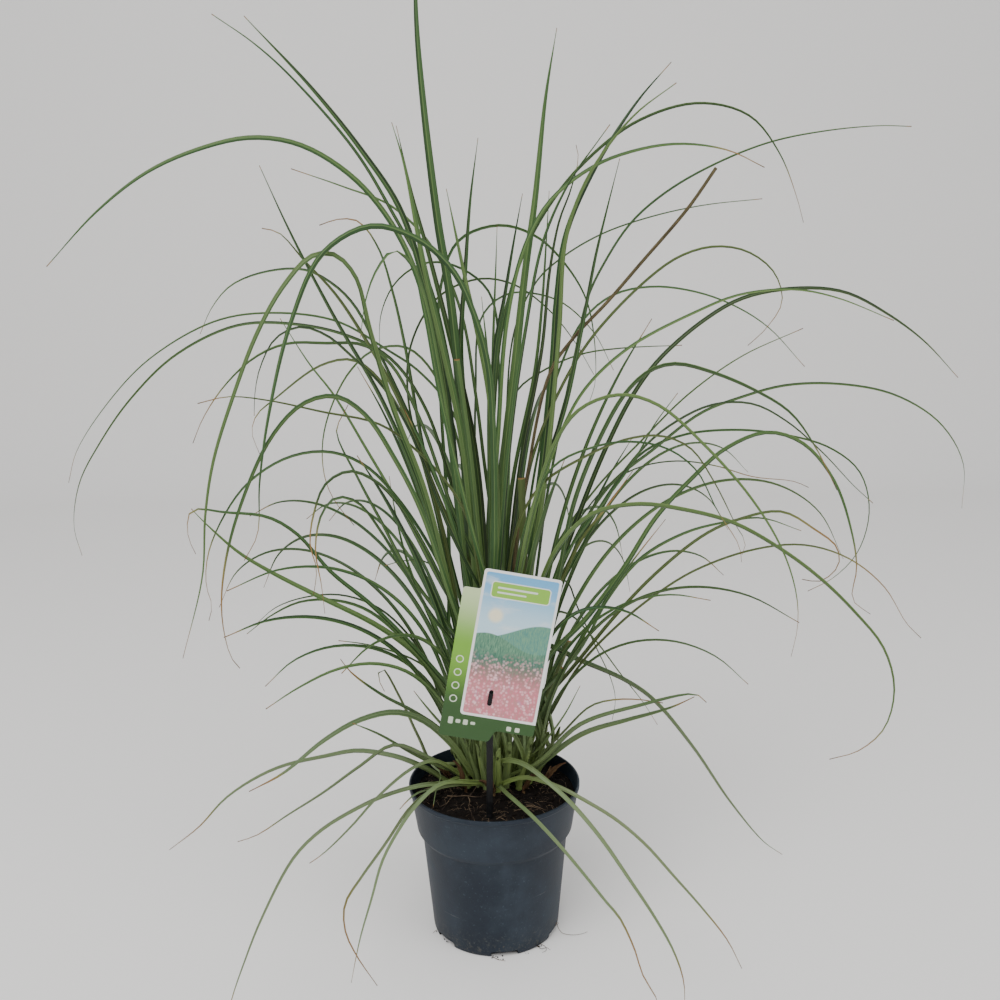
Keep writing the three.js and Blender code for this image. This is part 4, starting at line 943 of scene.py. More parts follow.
def bendClear(lines):
    # pushes lines apart where they are too near each other, and off the pot and the label
    counts = [len(line["stations"]) for line in lines]
    starts = np.concatenate(([0], np.cumsum(counts)))
    at = np.vstack([line["stations"] for line in lines])
    lineOf = np.repeat(np.arange(len(lines)), counts)
    stepOf = np.arange(len(at)) - starts[lineOf]
    lastOf = np.array(counts)[lineOf] - 1
    radius = np.array([line["radius"] for line in lines])
    margin = np.array([line["margin"] for line in lines])
    owner = np.array([line["owner"] for line in lines])
    across = np.vstack([line.get("across", line["stations"] * 0) for line in lines])
    keel = np.vstack([line.get("keel", line["stations"] * 0) for line in lines])
    halves = np.concatenate([line.get("halves", line["stations"][:, 0] * 0) for line in lines])
    deep = blade["keelAtBase"] * clearing["keelShare"]

    seg = np.flatnonzero(stepOf < lastOf)
    segLine = lineOf[seg]
    one, two = np.triu_indices(len(seg), 1)
    a, b = segLine[one], segLine[two]
    together = owner[a] == owner[b]
    solid = (radius[a] > 0) | (radius[b] > 0)
    keep = (a != b) & ~(solid & (together | (radius[a] == radius[b])))
    keep &= ~together | ((stepOf[seg[one]] >= 2) & (stepOf[seg[two]] >= 2))
    one, two = seg[one[keep]], seg[two[keep]]
    leafSeg = seg[(radius[segLine] == 0) & (stepOf[seg] >= 1)]
    movable = (radius[lineOf] == 0) & (stepOf > 1)
    before = np.where(stepOf > 0, np.arange(len(at)) - 1, np.arange(len(at)))
    after = np.where(stepOf < lastOf, np.arange(len(at)) + 1, np.arange(len(at)))

    def reachTowards(i, direction):
        wide = halves[i] * (across[i] * direction).sum(1)
        thick = deep * (keel[i] * direction).sum(1)
        return np.where(radius[lineOf[i]] > 0, radius[lineOf[i]], np.hypot(wide, thick))

    for turn in range(clearing["rounds"]):
        if turn % 4 == 0:
            middle = (at[one] + at[one + 1] - at[two] - at[two + 1]) / 2
            lengths = np.linalg.norm(at[one + 1] - at[one], axis=1)
            lengths = lengths + np.linalg.norm(at[two + 1] - at[two], axis=1)
            slack = lengths / 2 + margin[lineOf[one]] + margin[lineOf[two]] + clearing["lookAhead"]
            near = (middle**2).sum(1) < slack**2
            i, j = one[near], two[near]
        s, t = nearestShares(at[i], at[i + 1], at[j], at[j + 1])
        gap = (at[i] + (at[i + 1] - at[i]) * s[:, None]) - (at[j] + (at[j + 1] - at[j]) * t[:, None])
        apart = np.linalg.norm(gap, axis=1)
        close = apart <= margin[lineOf[i]] + margin[lineOf[j]]
        ci, cj, cs, ct, capart = i[close], j[close], s[close], t[close], apart[close]
        touching = capart < 0.05
        direction = gap[close] / np.maximum(capart, 1e-9)[:, None]
        direction = np.where(touching[:, None], (0.0, 1.0, 0.0), direction)
        needed = clearing["leaf"]
        needed = needed + np.maximum(reachTowards(ci, direction), reachTowards(ci + 1, direction))
        needed = needed + np.maximum(reachTowards(cj, direction), reachTowards(cj + 1, direction))
        short = np.maximum(needed - capart, 0)
        shareOne = np.where(radius[lineOf[cj]] > 0, 1, np.where(radius[lineOf[ci]] > 0, 0, 0.5))
        push = np.zeros_like(at)
        first = direction * (short * shareOne)[:, None]
        second = direction * (-short * (1 - shareOne))[:, None]
        np.add.at(push, ci, first * (1 - cs)[:, None])
        np.add.at(push, ci + 1, first * cs[:, None])
        np.add.at(push, cj, second * (1 - ct)[:, None])
        np.add.at(push, cj + 1, second * ct[:, None])
        for k in range(clearing["samples"] + 1):
            share = k / clearing["samples"]
            move = wayFromHolder(between(at[leafSeg], at[leafSeg + 1], share)) * 0.5
            np.add.at(push, leafSeg, move * (1 - share))
            np.add.at(push, leafSeg + 1, move * share)
        nearby = clearing["nextShare"]
        spread = push * clearing["ownShare"] + push[before] * nearby + push[after] * nearby
        length = np.linalg.norm(spread, axis=1)
        spread *= (np.minimum(length, clearing["mostMove"]) / np.maximum(length, 1e-9))[:, None]
        at[movable] += spread[movable]
    for number, line in enumerate(lines):
        line["stations"] = at[starts[number]:starts[number + 1]]


print("leaf lines")
shoots = growShoots()
bendClear(makeLines(shoots))


# Where a point lies on its blade (across it from 0 to 1, mm from the crown, mm from the tip),
# the length of its blade's dead tip, and three values by which blades differ
layerNames = ("across", "along", "away", "dead", "tone", "olive", "seed")

leafLook = {
    "dark": (0.0045, 0.0180, 0.0065),
    "middle": (0.030, 0.086, 0.022),
    "light": (0.108, 0.184, 0.052),
    "olive": (0.078, 0.078, 0.017),
    "vein": (0.060, 0.140, 0.024),
    "rib": (0.18, 0.26, 0.08),
    "base": (0.20, 0.27, 0.075),
    "grey": (0.235, 0.290, 0.150),
    "yellow": (0.20, 0.185, 0.055),
    "tan": (0.26, 0.150, 0.055),
    "brown": (0.095, 0.048, 0.017),
    "roughness": 0.36,
}


def leafMaterial():
    material, tree, shader = newMaterial("leaf")
    across, along, away, dead, tone, olive, seed = [attribute(tree, name) for name in layerNames]
    seedFar = times(tree, seed, 71.0)

    streakPlace = combine(tree, times(tree, across, 9.0), times(tree, along, 0.012), seedFar)
    streaks = noiseAt(tree, streakPlace, 1.6, 5.0, 0.6)
    veinPlace = combine(tree, times(tree, across, 26.0), times(tree, along, 0.004), seedFar)
    veins = noiseAt(tree, veinPlace, 1.0, 2.5, 0.6)
    patchPlace = combine(tree, across, times(tree, along, 0.02), seedFar)
    patches = noiseAt(tree, patchPlace, 1.0, 3.0, 0.6)

    # painted light and shade: one half of a folded blade is painted lighter than the other, as the lit and
    # shaded sides of the fold
    half = times(tree, fade(tree, across, 0.44, 0.56, -1.0, 1.0), fade(tree, seed, 0.3, 0.7, -0.3, 0.3))
    toned = plus(tree, tone, times(tree, minus(tree, patches, 0.5), 0.8))
    toned = plus(tree, toned, half)
    streaky = times(tree, fade(tree, streaks, 0.5, 0.72), 0.55)
    oliveShare = plus(tree, times(tree, olive, 0.8), times(tree, streaky, 0.35), True)
    offMiddle = math2(tree, "ABSOLUTE", minus(tree, across, 0.5))
    rib = times(tree, fade(tree, offMiddle, 0.085, 0.03), fade(tree, away, 20.0, 160.0))
    # painted highlight: a thin pale rim along both edges of each blade
    edge = fade(tree, offMiddle, 0.445, 0.49)
    # low leaves are paler and greyer
    low = fade(tree, heightAt(tree), 0.32, 0.12, 0.0, 0.7)
    low = times(tree, low, fade(tree, streaks, 0.3, 0.7, 0.6, 1.0))
    pale = times(tree, fade(tree, along, 85.0, 8.0), fade(tree, seed, 0.1, 0.9, 0.35, 1.0))
    green = layered(
        tree,
        leafLook["dark"],
        (fade(tree, toned, -1.0, 0.1), leafLook["middle"]),
        (fade(tree, toned, 0.0, 1.1), leafLook["light"]),
        (oliveShare, leafLook["olive"]),
        (fade(tree, veins, 0.52, 0.72, 0.0, 0.6), leafLook["vein"]),
        (fade(tree, veins, 0.46, 0.3, 0.0, 0.6), leafLook["dark"]),
        (times(tree, rib, 0.45), leafLook["rib"]),
        # the painted highlight along the rims, in the rib's colour
        (times(tree, edge, 0.5), leafLook["rib"]),
        (low, leafLook["grey"]),
        (pale, leafLook["base"]),
    )

    # the tip dies back unevenly across the blade, yellow first, then tan, brown at its end
    ragged = plus(tree, times(tree, streaks, 0.9), 0.55)
    ratio = math2(tree, "DIVIDE", away, larger(tree, times(tree, dead, ragged), 1.0))
    mottled = times(tree, fade(tree, patches, 0.4, 0.7), fade(tree, ratio, 0.8, 0.2))
    ended = larger(tree, fade(tree, ratio, 0.3, 0.0, 0.0, 0.8), times(tree, mottled, 0.6))
    colour = layered(
        tree,
        green,
        (fade(tree, ratio, 1.25, 0.95), leafLook["yellow"]),
        (fade(tree, ratio, 1.0, 0.72), leafLook["tan"]),
        (ended, leafLook["brown"]),
    )
    rough = fade(tree, ratio, 1.1, 0.8, leafLook["roughness"], 0.72)
    rough = plus(tree, rough, times(tree, streaks, 0.12))
    paint(tree, shader, colour, rough, 0.3)
    ridges = plus(tree, veins, times(tree, rib, 0.8))
    bump(tree, shader, ridges, 0.35, 0.0004)
    return material


dryLook = {
    "tan": (0.24, 0.17, 0.080),
    "olive": (0.055, 0.048, 0.018),
    "brown": (0.030, 0.018, 0.009),
    "red": (0.100, 0.044, 0.020),
    "roughness": 0.72,
}


def dryMaterial():
    # olive brown for the dead leaf, reddish for the papery sheaths
    material, tree, shader = newMaterial("dry_leaf")
    across = attribute(tree, "across")
    along = attribute(tree, "along")
    olive = attribute(tree, "olive")
    seedFar = times(tree, attribute(tree, "seed"), 53.0)
    streakPlace = combine(tree, times(tree, across, 14.0), times(tree, along, 0.05), seedFar)
    streaks = noiseAt(tree, streakPlace, 1.3, 5.0, 0.65)
    patchPlace = combine(tree, across, times(tree, along, 0.04), seedFar)
    patches = noiseAt(tree, patchPlace, 1.4, 3.0, 0.6)
    body = mixColour(tree, olive, dryLook["red"], dryLook["olive"])
    colour = mixColour(tree, fade(tree, streaks, 0.45, 0.68), body, dryLook["tan"])
    colour = mixColour(tree, fade(tree, patches, 0.5, 0.72, 0.0, 0.75), colour, dryLook["brown"])
    paint(tree, shader, colour, dryLook["roughness"], 0.3)
    bump(tree, shader, streaks, 0.5, 0.0006)
    return material


fine = {
    "step": 9,  # mm along a blade
    "acrossSteps": 6,
    "thickness": 0.5,  # mm
    "baseWidth": 6.4,
    "tipWidth": 0.6,
    "foldAtBase": 1.15,  # depth of the fold over half the width
    "fold": 0.42,
    "openAt": 0.3,  # share of the length by which the fold has opened
    "foldRaise": 0.62,
    "foldPower": 1.2,
    "upright": 0.97,  # breadth over that of the solid blade, for an upright blade
    "arching": 1.0,  # for one that arches away
    "archingRight": 0.76,  # for one that does so to the right, with its tip high
    "tipHigh": 260,
    "shrivelled": 0.92,  # breadth of a dead tip
    "seed": 90210,
}
# some drawn leaves stay folded: their place in the list, and the fold at their tip
sharpFold = {18: 0.9, 28: 0.8, 89: 0.9, 90: 0.9}

sheath = {
    "sides": 14,
    "rings": 9,
    "wide": 1.3,  # its width over that of a round tube
    "flat": 0.8,
    "ridge": 0.35,  # how far the ridge along its back stands out
    "flattening": 2.5,  # how soon the round foot gets flat
    "mouth": 9,  # mm from the low side of its open top to the high side
    "lip": 0.82,  # inner size of the mouth, and of its hollow
    "throat": 0.7,
    "hollow": 6,
    "pale": 0.6,  # the smaller, the further up its pale base reaches
}

# a dry sheath: its width at its foot, middle and tip, and how its edges wave
torn = {"ends": (1, 0.75, 0.1), "waves": 0.9, "waveDepth": 0.2, "fold": 1.3, "sheath": 0.5}


def fineLine(leaf, count):
    # the smooth curve of a leaf, moved as its stations were, with its across and keel directions
    shares = np.linspace(0, 1, count)

    def spreadOut(values):
        values = np.stack([np.interp(shares, leaf["shares"], values[:, k]) for k in range(3)], axis=1)
        for _ in range(3):
            values[1:-1] = (values[:-2] + 2 * values[1:-1] + values[2:]) / 4
        return values

    line = throughPoints(leaf["control"], shares) + spreadOut(leaf["stations"] - leaf["rest"])
    along = tangents(line)
    across = spreadOut(leaf["across"])
    across = unit(across - along * (across * along).sum(1)[:, None])
    return shares, line, across, unit(np.cross(along, across)) * leaf["flip"]


def fineWidths(leaf, shares):
    halves = halfWidths(leaf, shares, fine["tipWidth"])
    base = min(leaf["width"], fine["baseWidth"]) / 2
    halves = np.maximum(halves, between(base, 0, np.minimum(shares / blade["fullAt"], 1)))
    tip = leaf["points"][-1]
    arching = fine["archingRight"] if tip[0] > 0 and tip[2] > fine["tipHigh"] else fine["arching"]
    return halves * between(fine["upright"], arching, archShare(leaf["points"]))


def addBlade(shootMesh, leaf, look):
    bm = bmesh.new()
    layers = newLayers(bm)
    length = np.linalg.norm(np.diff(leaf["control"], axis=0), axis=1).sum()
    count = max(int(length / fine["step"]), 12)
    shares, line, across, keel = fineLine(leaf, count)
    halves = fineWidths(leaf, shares)
    steps = np.linalg.norm(np.diff(line, axis=0), axis=1)
    along = np.concatenate(([0], np.cumsum(steps)))
    fold = between(fine["foldAtBase"], fine["fold"], np.minimum(shares / fine["openAt"], 1))
    if leaf["place"] in sharpFold:
        fold = np.maximum(fold, sharpFold[leaf["place"]] * shares)
    if not leaf["cut"]:
        ratio = (along[-1] - along) / max(look["dead"], 1)
        halves = halves * np.interp(ratio, (0.8, 1.4), (fine["shrivelled"], 1))
    if look["torn"]:
        waves = np.sin(along * torn["waves"] + look["seed"] * 40)
        halves = halves * np.interp(shares, (0, 0.5, 1), torn["ends"]) * (1 + torn["waveDepth"] * waves)
        fold = np.full(count, torn["fold"])
    made = bmesh.ops.create_grid(bm, x_segments=count - 1, y_segments=fine["acrossSteps"], size=1)["verts"]
    for vert in made:
        i = round((vert.co.x + 1) / 2 * (count - 1))
        side = vert.co.y
        depth = fold[i] * halves[i] * (fine["foldRaise"] - abs(side) ** fine["foldPower"])
        place = line[i] + across[i] * halves[i] * side + keel[i] * depth
        vert.co = Vector(place) * mm
        vert[layers["across"]] = side / 2 + 0.5
        vert[layers["along"]] = along[i]
        vert[layers["away"]] = along[-1] - along[i]
        setLook(vert, layers, look)
    bmesh.ops.solidify(bm, geom=bm.faces, thickness=fine["thickness"] * mm)
    addSmall(shootMesh, bm)


def newLayers(bm):
    return {name: bm.verts.layers.float.new(name) for name in layerNames}


def setLook(vert, layers, look):
    for name in layerNames[3:]:
        vert[layers[name]] = look[name]


def growTube(bm, sides, sections):
    # a closed tube: each section gives the point, in mm, at a turn about its middle
    ring = bmesh.ops.create_circle(bm, cap_ends=True, radius=1, segments=sides)["verts"]
    face = ring[0].link_faces[0]
    verts = []
    for i, section in enumerate(sections):
        if i > 0:
            made = bmesh.ops.extrude_face_region(bm, geom=[face, *face.edges])["geom"]
            face = next(g for g in made if isinstance(g, bmesh.types.BMFace))
        for k, vert in enumerate(face.verts):
            vert.co = Vector(section(2 * math.pi * k / sides)) * mm
            verts.append(vert)
    return verts


def addSheath(shootMesh, shoot, look, thin):
    # a keeled, flattened tube with a slanting open mouth, where the blades come out
    line = throughPoints(sheathStations(shoot), np.linspace(0, 1, sheath["rings"]))
    foot = shoot["foot"]
    back = math.atan2(foot[1] - crown["y"], foot[0] - crown["x"]) + (look["seed"] - 0.5) * 2
    outward = np.array((math.cos(back), math.sin(back), 0.0))
    sideways = np.array((-outward[1], outward[0], 0.0))

    def sectionAt(i, lift, shrink):
        middle = line[i]
        up = i / (len(line) - 1)
        radius = between(crown["radius"], crown["topRadius"], up) * shrink * thin
        flat = min(up * sheath["flattening"], 1)
        wide = between(1, sheath["wide"], flat)
        deep = between(1, sheath["flat"], flat)

        def section(turn):
            ridge = sheath["ridge"] * max(math.cos(turn), 0) ** 8 * flat
            slant = sheath["mouth"] / 2 * math.cos(turn) * max(up * 2 - 1, 0)
            return (
                middle
                + outward * radius * (deep + ridge) * math.cos(turn)
                + sideways * radius * wide * math.sin(turn)
                + upward * (lift + slant)
            )

        return section

    last = len(line) - 1
    sections = [sectionAt(i, 0, 1) for i in range(len(line))]
    sections += [sectionAt(last, 0, sheath["lip"]), sectionAt(last, -sheath["hollow"], sheath["throat"])]
    low = line[0][2]
    bm = bmesh.new()
    layers = newLayers(bm)
    for vert in growTube(bm, sheath["sides"], sections):
        turn = math.atan2(*(np.array(vert.co[:2]) - line[-1][:2] * mm)[::-1])
        vert[layers["across"]] = (turn / math.pi) % 1
        vert[layers["along"]] = (vert.co.z / mm - low) * sheath["pale"]
        vert[layers["away"]] = 400  # no part of it is a tip
        setLook(vert, layers, look)
    addSmall(shootMesh, bm)


chance = {
    "tone": 0.9,
    # listedTone also sets how much darker the listed shaded leaves are painted, as painted shade
    "listedTone": 0.6,  # how much lighter or darker the listed leaves are
    "deadLeast": 6,  # mm
    "deadMore": 30,
    "deadUnlisted": 0.5,  # share of that for a drawn leaf with no listed length
    "deadShare": 0.85,
    "olive": 0.25,
    "listedOlive": 0.7,
}


def leafLookOf(leaf, draw):
    # its tone, its dead tip and how olive it is: drawn leaves by the lists, the others by chance
    place = leaf["place"]
    tone = (draw() - 0.5) * chance["tone"]
    dead = chance["deadLeast"] + chance["deadMore"] * draw() ** 2
    olive = chance["olive"] * draw() ** 2
    seed = draw()
    if place is not None:
        # listed light leaves are painted lighter, and listed shaded leaves darker as painted shade
        tone += ((place in lightLeaves) - (place in shadedLeaves)) * chance["listedTone"]
        dead = deadTips.get(place, dead * chance["deadUnlisted"]) * chance["deadShare"]
        olive += (place in oliveLeaves) * chance["listedOlive"]
    return {"tone": tone, "dead": dead, "olive": olive, "seed": seed, "torn": False}


def buildShoots(green, dry):
    draw = evenDraws(fine["seed"])
    for shoot in shoots:
        bm = bmesh.new()
        isDry = shoot["node"].startswith("dry")
        for leaf in shoot["leaves"]:
            look = leafLookOf(leaf, draw)
            look["torn"] = shoot["node"].startswith("dry_sheath")
            look["olive"] = float(leaf["place"] is not None) if isDry else look["olive"]
            addBlade(bm, leaf, look)
        look = {"tone": 0.3 + 0.5 * draw(), "dead": 1, "olive": 0.1 + 0.3 * draw(), "seed": draw()}
        addSheath(bm, shoot, look, torn["sheath"] if isDry else 1)
        piece = tidyMesh(bm, shoot["node"] + "_fine", dry if isDry else green)
        finishPiece(piece, shoot["node"])


print("shoots")
buildShoots(leafMaterial(), dryMaterial())


soilLook = {
    "dark": (0.0035, 0.0022, 0.0016),
    "brown": (0.0072, 0.0042, 0.0028),
    "red": (0.027, 0.0115, 0.006),
    "fibre": (0.046, 0.026, 0.015),
    "rootDark": (0.022, 0.011, 0.006),
    "rootPale": (0.20, 0.135, 0.080),
    "edge": 81.4,  # mm from the pot's axis
    "rings": 44,
    "steps": 180,
    "side": 6,  # height of its upright side
    "under": [(71.4, 104), (62, 10), (0, 5)],  # radius and height of the corners under that
    # level, scale, octaves and height in mm of the lumps on its top
    "lumps": [(0, 0.16, 4, 1.1), (40, 0.5, 3, 0.35)],
    "reach": 79,  # how far out crumbs and fibres lie
    "besideStake": (6, 4),
    "crumbs": 900,
    "crumbSize": (0.5, 2.1),  # the least, and how much more it can be
    "spilledSize": (0.35, 1.1),
    "fibres": 460,
    "roots": 24,
    "bend": 1.8,
    "seed": 515,
}
strandKinds = {
    "root": {"length": (12, 22), "lift": 1.6, "radius": 0.34},
    "fibre": {"length": (3, 8), "lift": 1.2, "radius": 0.2},
}

potLook = {
    "lipRadius": 84.2,
    "lipDrop": 5,
    "bandBottomRadius": 78,
    "bandBottom": 109,
    "shoulderRadius": 73,
    "shoulder": 103.5,
    "footRadius": 64,
    "footHeight": 4,
    "baseRadius": 63,
    "floor": 4,
    "steps": 120,  # round the pot
    "notches": 6,
    "notchWidth": 26,
    "notchHeight": 5.5,
    "notchDepth": 7,
    "notchTurn": -1.44,
    "notchRounding": 1.2,
    "colour": (0.0065, 0.0125, 0.0225),
    "dust": (0.050, 0.070, 0.092),
    "dirt": (0.080, 0.076, 0.060),
    "scuff": (0.15, 0.16, 0.165),
    "roughness": 0.5,
}


def roundedProfile(corners, steps=4):
    # corners of radius, height and rounding; each corner becomes a short arc
    points = []
    for i, (radius, z, rounding) in enumerate(corners):
        at = np.array((radius, z), float)
        if rounding == 0:
            points.append(tuple(at))
            continue
        before = np.array(corners[i - 1][:2], float) - at
        after = np.array(corners[i + 1][:2], float) - at
        inset = min(rounding, np.linalg.norm(before) * 0.45, np.linalg.norm(after) * 0.45)
        start = at + before / np.linalg.norm(before) * inset
        end = at + after / np.linalg.norm(after) * inset
        for k in range(steps + 1):
            t = k / steps
            points.append(tuple(start * (1 - t) ** 2 + at * 2 * t * (1 - t) + end * t**2))
    return points


def potMaterial():
    material, tree, shader = newMaterial("pot_plastic")
    place = objectPlace(tree)
    clouds = noiseAt(tree, place, 16.0, 6.0, 0.62)
    grains = noiseAt(tree, place, 170.0, 4.0, 0.7)
    specks = noiseAt(tree, place, 480.0, 3.0, 0.6)
    # water marks run down the wall
    runs = noiseAt(tree, scaled(tree, place, (38.0, 38.0, 5.0)), 1.0, 4.0, 0.6)
    dusty = fade(tree, clouds, 0.4, 0.72, 0.0, 0.34)
    dusty = plus(tree, dusty, fade(tree, runs, 0.52, 0.75, 0.0, 0.12))
    dusty = plus(tree, dusty, fade(tree, grains, 0.6, 0.74, 0.0, 0.3))
    dusty = plus(tree, dusty, fade(tree, specks, 0.62, 0.72, 0.0, 0.6), True)
    colour = mixColour(tree, dusty, potLook["colour"], potLook["dust"])
    # soil splashed near the foot
    splashes = plus(tree, fade(tree, grains, 0.5, 0.7, 0.0, 0.45), fade(tree, specks, 0.56, 0.68, 0.0, 0.6))
    splashed = times(tree, fade(tree, heightAt(tree), 0.034, 0.002), splashes, True)
    colour = mixColour(tree, splashed, colour, potLook["dirt"])
    # thin scuffs, mostly level
    scuffs = noiseAt(tree, scaled(tree, place, (14.0, 14.0, 420.0)), 1.0, 2.0, 0.5, 0.3)
    scuffed = times(tree, fade(tree, scuffs, 0.7, 0.76), fade(tree, clouds, 0.48, 0.62))
    colour = mixColour(tree, times(tree, scuffed, 0.5), colour, potLook["scuff"])
    rough = plus(tree, times(tree, dusty, 0.3), potLook["roughness"], True)
    paint(tree, shader, colour, rough, 0.3)
    grain = plus(tree, specks, times(tree, grains, 0.8))
    bump(tree, shader, grain, 0.2, 0.0006)
    return material


def notchShadeMaterial():
    # painted shade: the faces inside the openings in the foot are painted the soil's near black, with a
    # soil-like grain
    material, tree, shader = newMaterial("pot_opening_shade")
    grain = noiseAt(tree, objectPlace(tree), 520.0, 5.0, 0.7)
    colour = mixColour(tree, fade(tree, grain, 0.45, 0.7), soilLook["dark"], soilLook["brown"])
    paint(tree, shader, colour, 0.95)
    bump(tree, shader, grain, 0.8, 0.001)
    return material


def buildPot():
    look = potLook
    wall, top = pot["wall"], pot["height"]
    lipBottom = top - look["lipDrop"]
    corners = [
        (0, 0, 0),
        (look["baseRadius"], 0, 3),
        (look["footRadius"], look["footHeight"], 4),
        (look["shoulderRadius"], look["shoulder"], 1.6),
        (look["bandBottomRadius"], look["bandBottom"], 1.6),
        (look["lipRadius"], lipBottom, 0.6),
        (pot["rimRadius"], lipBottom + 0.9, 0.6),
        (pot["rimRadius"], top, 0.9),
        (pot["rimRadius"] - wall, top, 0.9),
        (look["lipRadius"] - wall, lipBottom - 1, 0.6),
        (look["bandBottomRadius"] - wall, look["bandBottom"], 1.6),
        (look["shoulderRadius"] - wall, look["shoulder"], 1.6),
        (look["footRadius"] - wall, look["footHeight"] + 1, 3),
        (look["baseRadius"] - wall + 1, look["floor"], 1),
        (0, look["floor"], 0),
    ]
    bm = bmesh.new()
    lathe(bm, roundedProfile(corners), look["steps"])
    piece = tidyMesh(bm, "pot_fine", potMaterial())
    cutter = bmesh.new()
    for i in range(look["notches"]):
        made = bmesh.ops.create_cube(cutter, size=1)["verts"]
        size = (look["notchDepth"] * 2, look["notchWidth"], look["notchHeight"] * 2)
        bmesh.ops.scale(cutter, vec=Vector(size) * mm, verts=made)
        bmesh.ops.translate(cutter, vec=Vector((look["footRadius"], 0, 0)) * mm, verts=made)
        turn = Matrix.Rotation(look["notchTurn"] + i / look["notches"] * 2 * math.pi, 3, "Z")
        bmesh.ops.rotate(cutter, matrix=turn, cent=(0, 0, 0), verts=made)
    half = look["notchHeight"] / 2 * mm
    uprights = [edge for edge in cutter.edges if abs(edge.verts[0].co.z - edge.verts[1].co.z) > half]
    tops = [edge for edge in cutter.edges if min(vert.co.z for vert in edge.verts) > half]
    roundOff(cutter, uprights + tops, look["notchRounding"], 2)
    # the faces of the openings take the painted shade
    cutAway(piece, tidyMesh(cutter, "notches", notchShadeMaterial(), smooth=False), "TRANSFER")
    finishPiece(piece, "pot")


print("pot")
buildPot()

# Radius in mm, and X, Y and height over the soil of the points that each loose root passes
looseRoots = [
    (0.6, [(-47, -10, 0.8), (-38, -13, 1.4), (-28, -16, 2.6), (-18, -18, 2.2), (-8, -12, 1.4)]),
    (0.45, [(-26, -17, 2), (-24, -26, 1.4), (-25, -34, 0.8), (-22, -44, 0.6), (-21, -52, 0.4)]),
    (0.35, [(-24, -31, 0.8), (-20, -36, 1.2), (-19, -43, 0.6)]),
    (0.4, [(-51, -34, 0.5), (-47, -25, 1.6), (-42, -15, 2.4), (-37, -8, 1.2)]),
    (0.4, [(-24, -14, 2), (-19, -6, 6), (-14, 2, 10), (-9, 6, 9)]),
    (0.35, [(-9, -50, 0.5), (-1, -48, 2.2), (5, -44, 1.6), (8, -50, 0.5)]),
    (0.3, [(2, -58, 0.4), (7, -54, 1.8), (11, -48, 0.5)]),
    (0.35, [(-60, 4, 0.6), (-52, 10, 1.6), (-45, 12, 1.0)]),
    (0.35, [(24, -40, 0.4), (34, -36, 1.5), (45, -38, 0.5)]),
    (0.3, [(52, 18, 0.4), (60, 10, 1.3), (66, 0, 0.5)]),
]

# What has come out at the pot's foot: heaps as X, Y, spread and count, and strands as
# radius and points, all in mm
spilled = {
    "heaps": [
        (-57, -24, 7, 7),
        (-49, -38, 6, 5),
        (-3, -61, 9, 12),
        (4, -64, 8, 5),
        (44, -46, 10, 12),
        (30, -56, 8, 5),
    ],
    "strands": [
        (0.3, [(58, -21, 5), (60.5, -21, 9), (62.5, -24, 4.5), (66, -28, 1.2), (75, -31, 0.8),
               (84, -30, 0.6), (92, -26, 0.6)]),
        (0.25, [(60, -19, 3), (63, -21, 7), (61, -24, 10), (59.5, -25, 6)]),
        (0.3, [(-57, -22, 3), (-61, -22, 1.6), (-64, -25, 0.7)]),
        (0.3, [(40, -50, 2.5), (44, -53, 1.4), (50, -51, 0.8), (53, -54, 0.6)]),
        (0.3, [(43, -47, 2.5), (48, -50, 1.8), (49, -55, 0.8), (45, -58, 0.6)]),
        (0.3, [(-4, -64, 1.6), (2, -68, 0.8), (9, -70, 0.6)]),
    ],
}


def soilHeight(x, y):
    fromCrown = math.hypot(x - crown["x"], y - crown["y"]) / pot["rimRadius"]
    lumps = math.sin(x / 9 + 1.3) * math.cos(y / 11 - 0.7)
    return crown["soilTop"] + soil["mound"] * max(0, 1 - fromCrown**2) + soil["relief"] * lumps


def soilMaterial():
    material, tree, shader = newMaterial("soil")
    place = objectPlace(tree)
    coarse = noiseAt(tree, place, 90.0, 8.0, 0.7)
    fineGrain = noiseAt(tree, place, 700.0, 6.0, 0.7)
    strands = noiseAt(tree, place, 160.0, 3.0, 0.5, 4.0)
    colour = layered(
        tree,
        soilLook["dark"],
        (fade(tree, coarse, 0.35, 0.65), soilLook["brown"]),
        (fade(tree, fineGrain, 0.55, 0.75, 0.0, 0.6), soilLook["red"]),
        (fade(tree, strands, 0.62, 0.7, 0.0, 0.45), soilLook["fibre"]),
    )
    paint(tree, shader, colour, 0.95, 0.2)
    grain = plus(tree, coarse, times(tree, fineGrain, 0.6))
    bump(tree, shader, grain, 0.9, 0.002)
    return material


def buildSoil(material):
    # a disc of rings, its top uneven and rough, its side and underside inside the pot
    bm = bmesh.new()
    edge, rings, top = soilLook["edge"], soilLook["rings"], crown["soilTop"]
    profile = [(edge * i / rings, top) for i in range(rings + 1)]
    lathe(bm, [*profile, (edge, top - soilLook["side"]), *soilLook["under"]], soilLook["steps"])
    for vert in bm.verts:
        x, y, z = vert.co / mm
        if z < top - 2:
            continue
        rough = 0
        for level, scale, octaves, height in soilLook["lumps"]:
            rough += noise.fractal(Vector((x, y, level)) * scale, 1.0, 2.0, octaves) * height
        room = min(max((edge - math.hypot(x, y)) / 4, 0.25), 1)
        vert.co.z = (soilHeight(x, y) + rough * room) * mm
    finishPiece(tidyMesh(bm, "soil_fine", material), "soil")


def topPlace(draw):
    # a place on the soil, beside the stake
    wide, deep = soilLook["besideStake"]
    while True:
        reach = soilLook["reach"] * math.sqrt(draw())
        turn = 2 * math.pi * draw()
        x, y = reach * math.cos(turn), reach * math.sin(turn)
        if abs(x - stake["x"]) > wide or abs(y - stakeDepth) > deep:
            return x, y


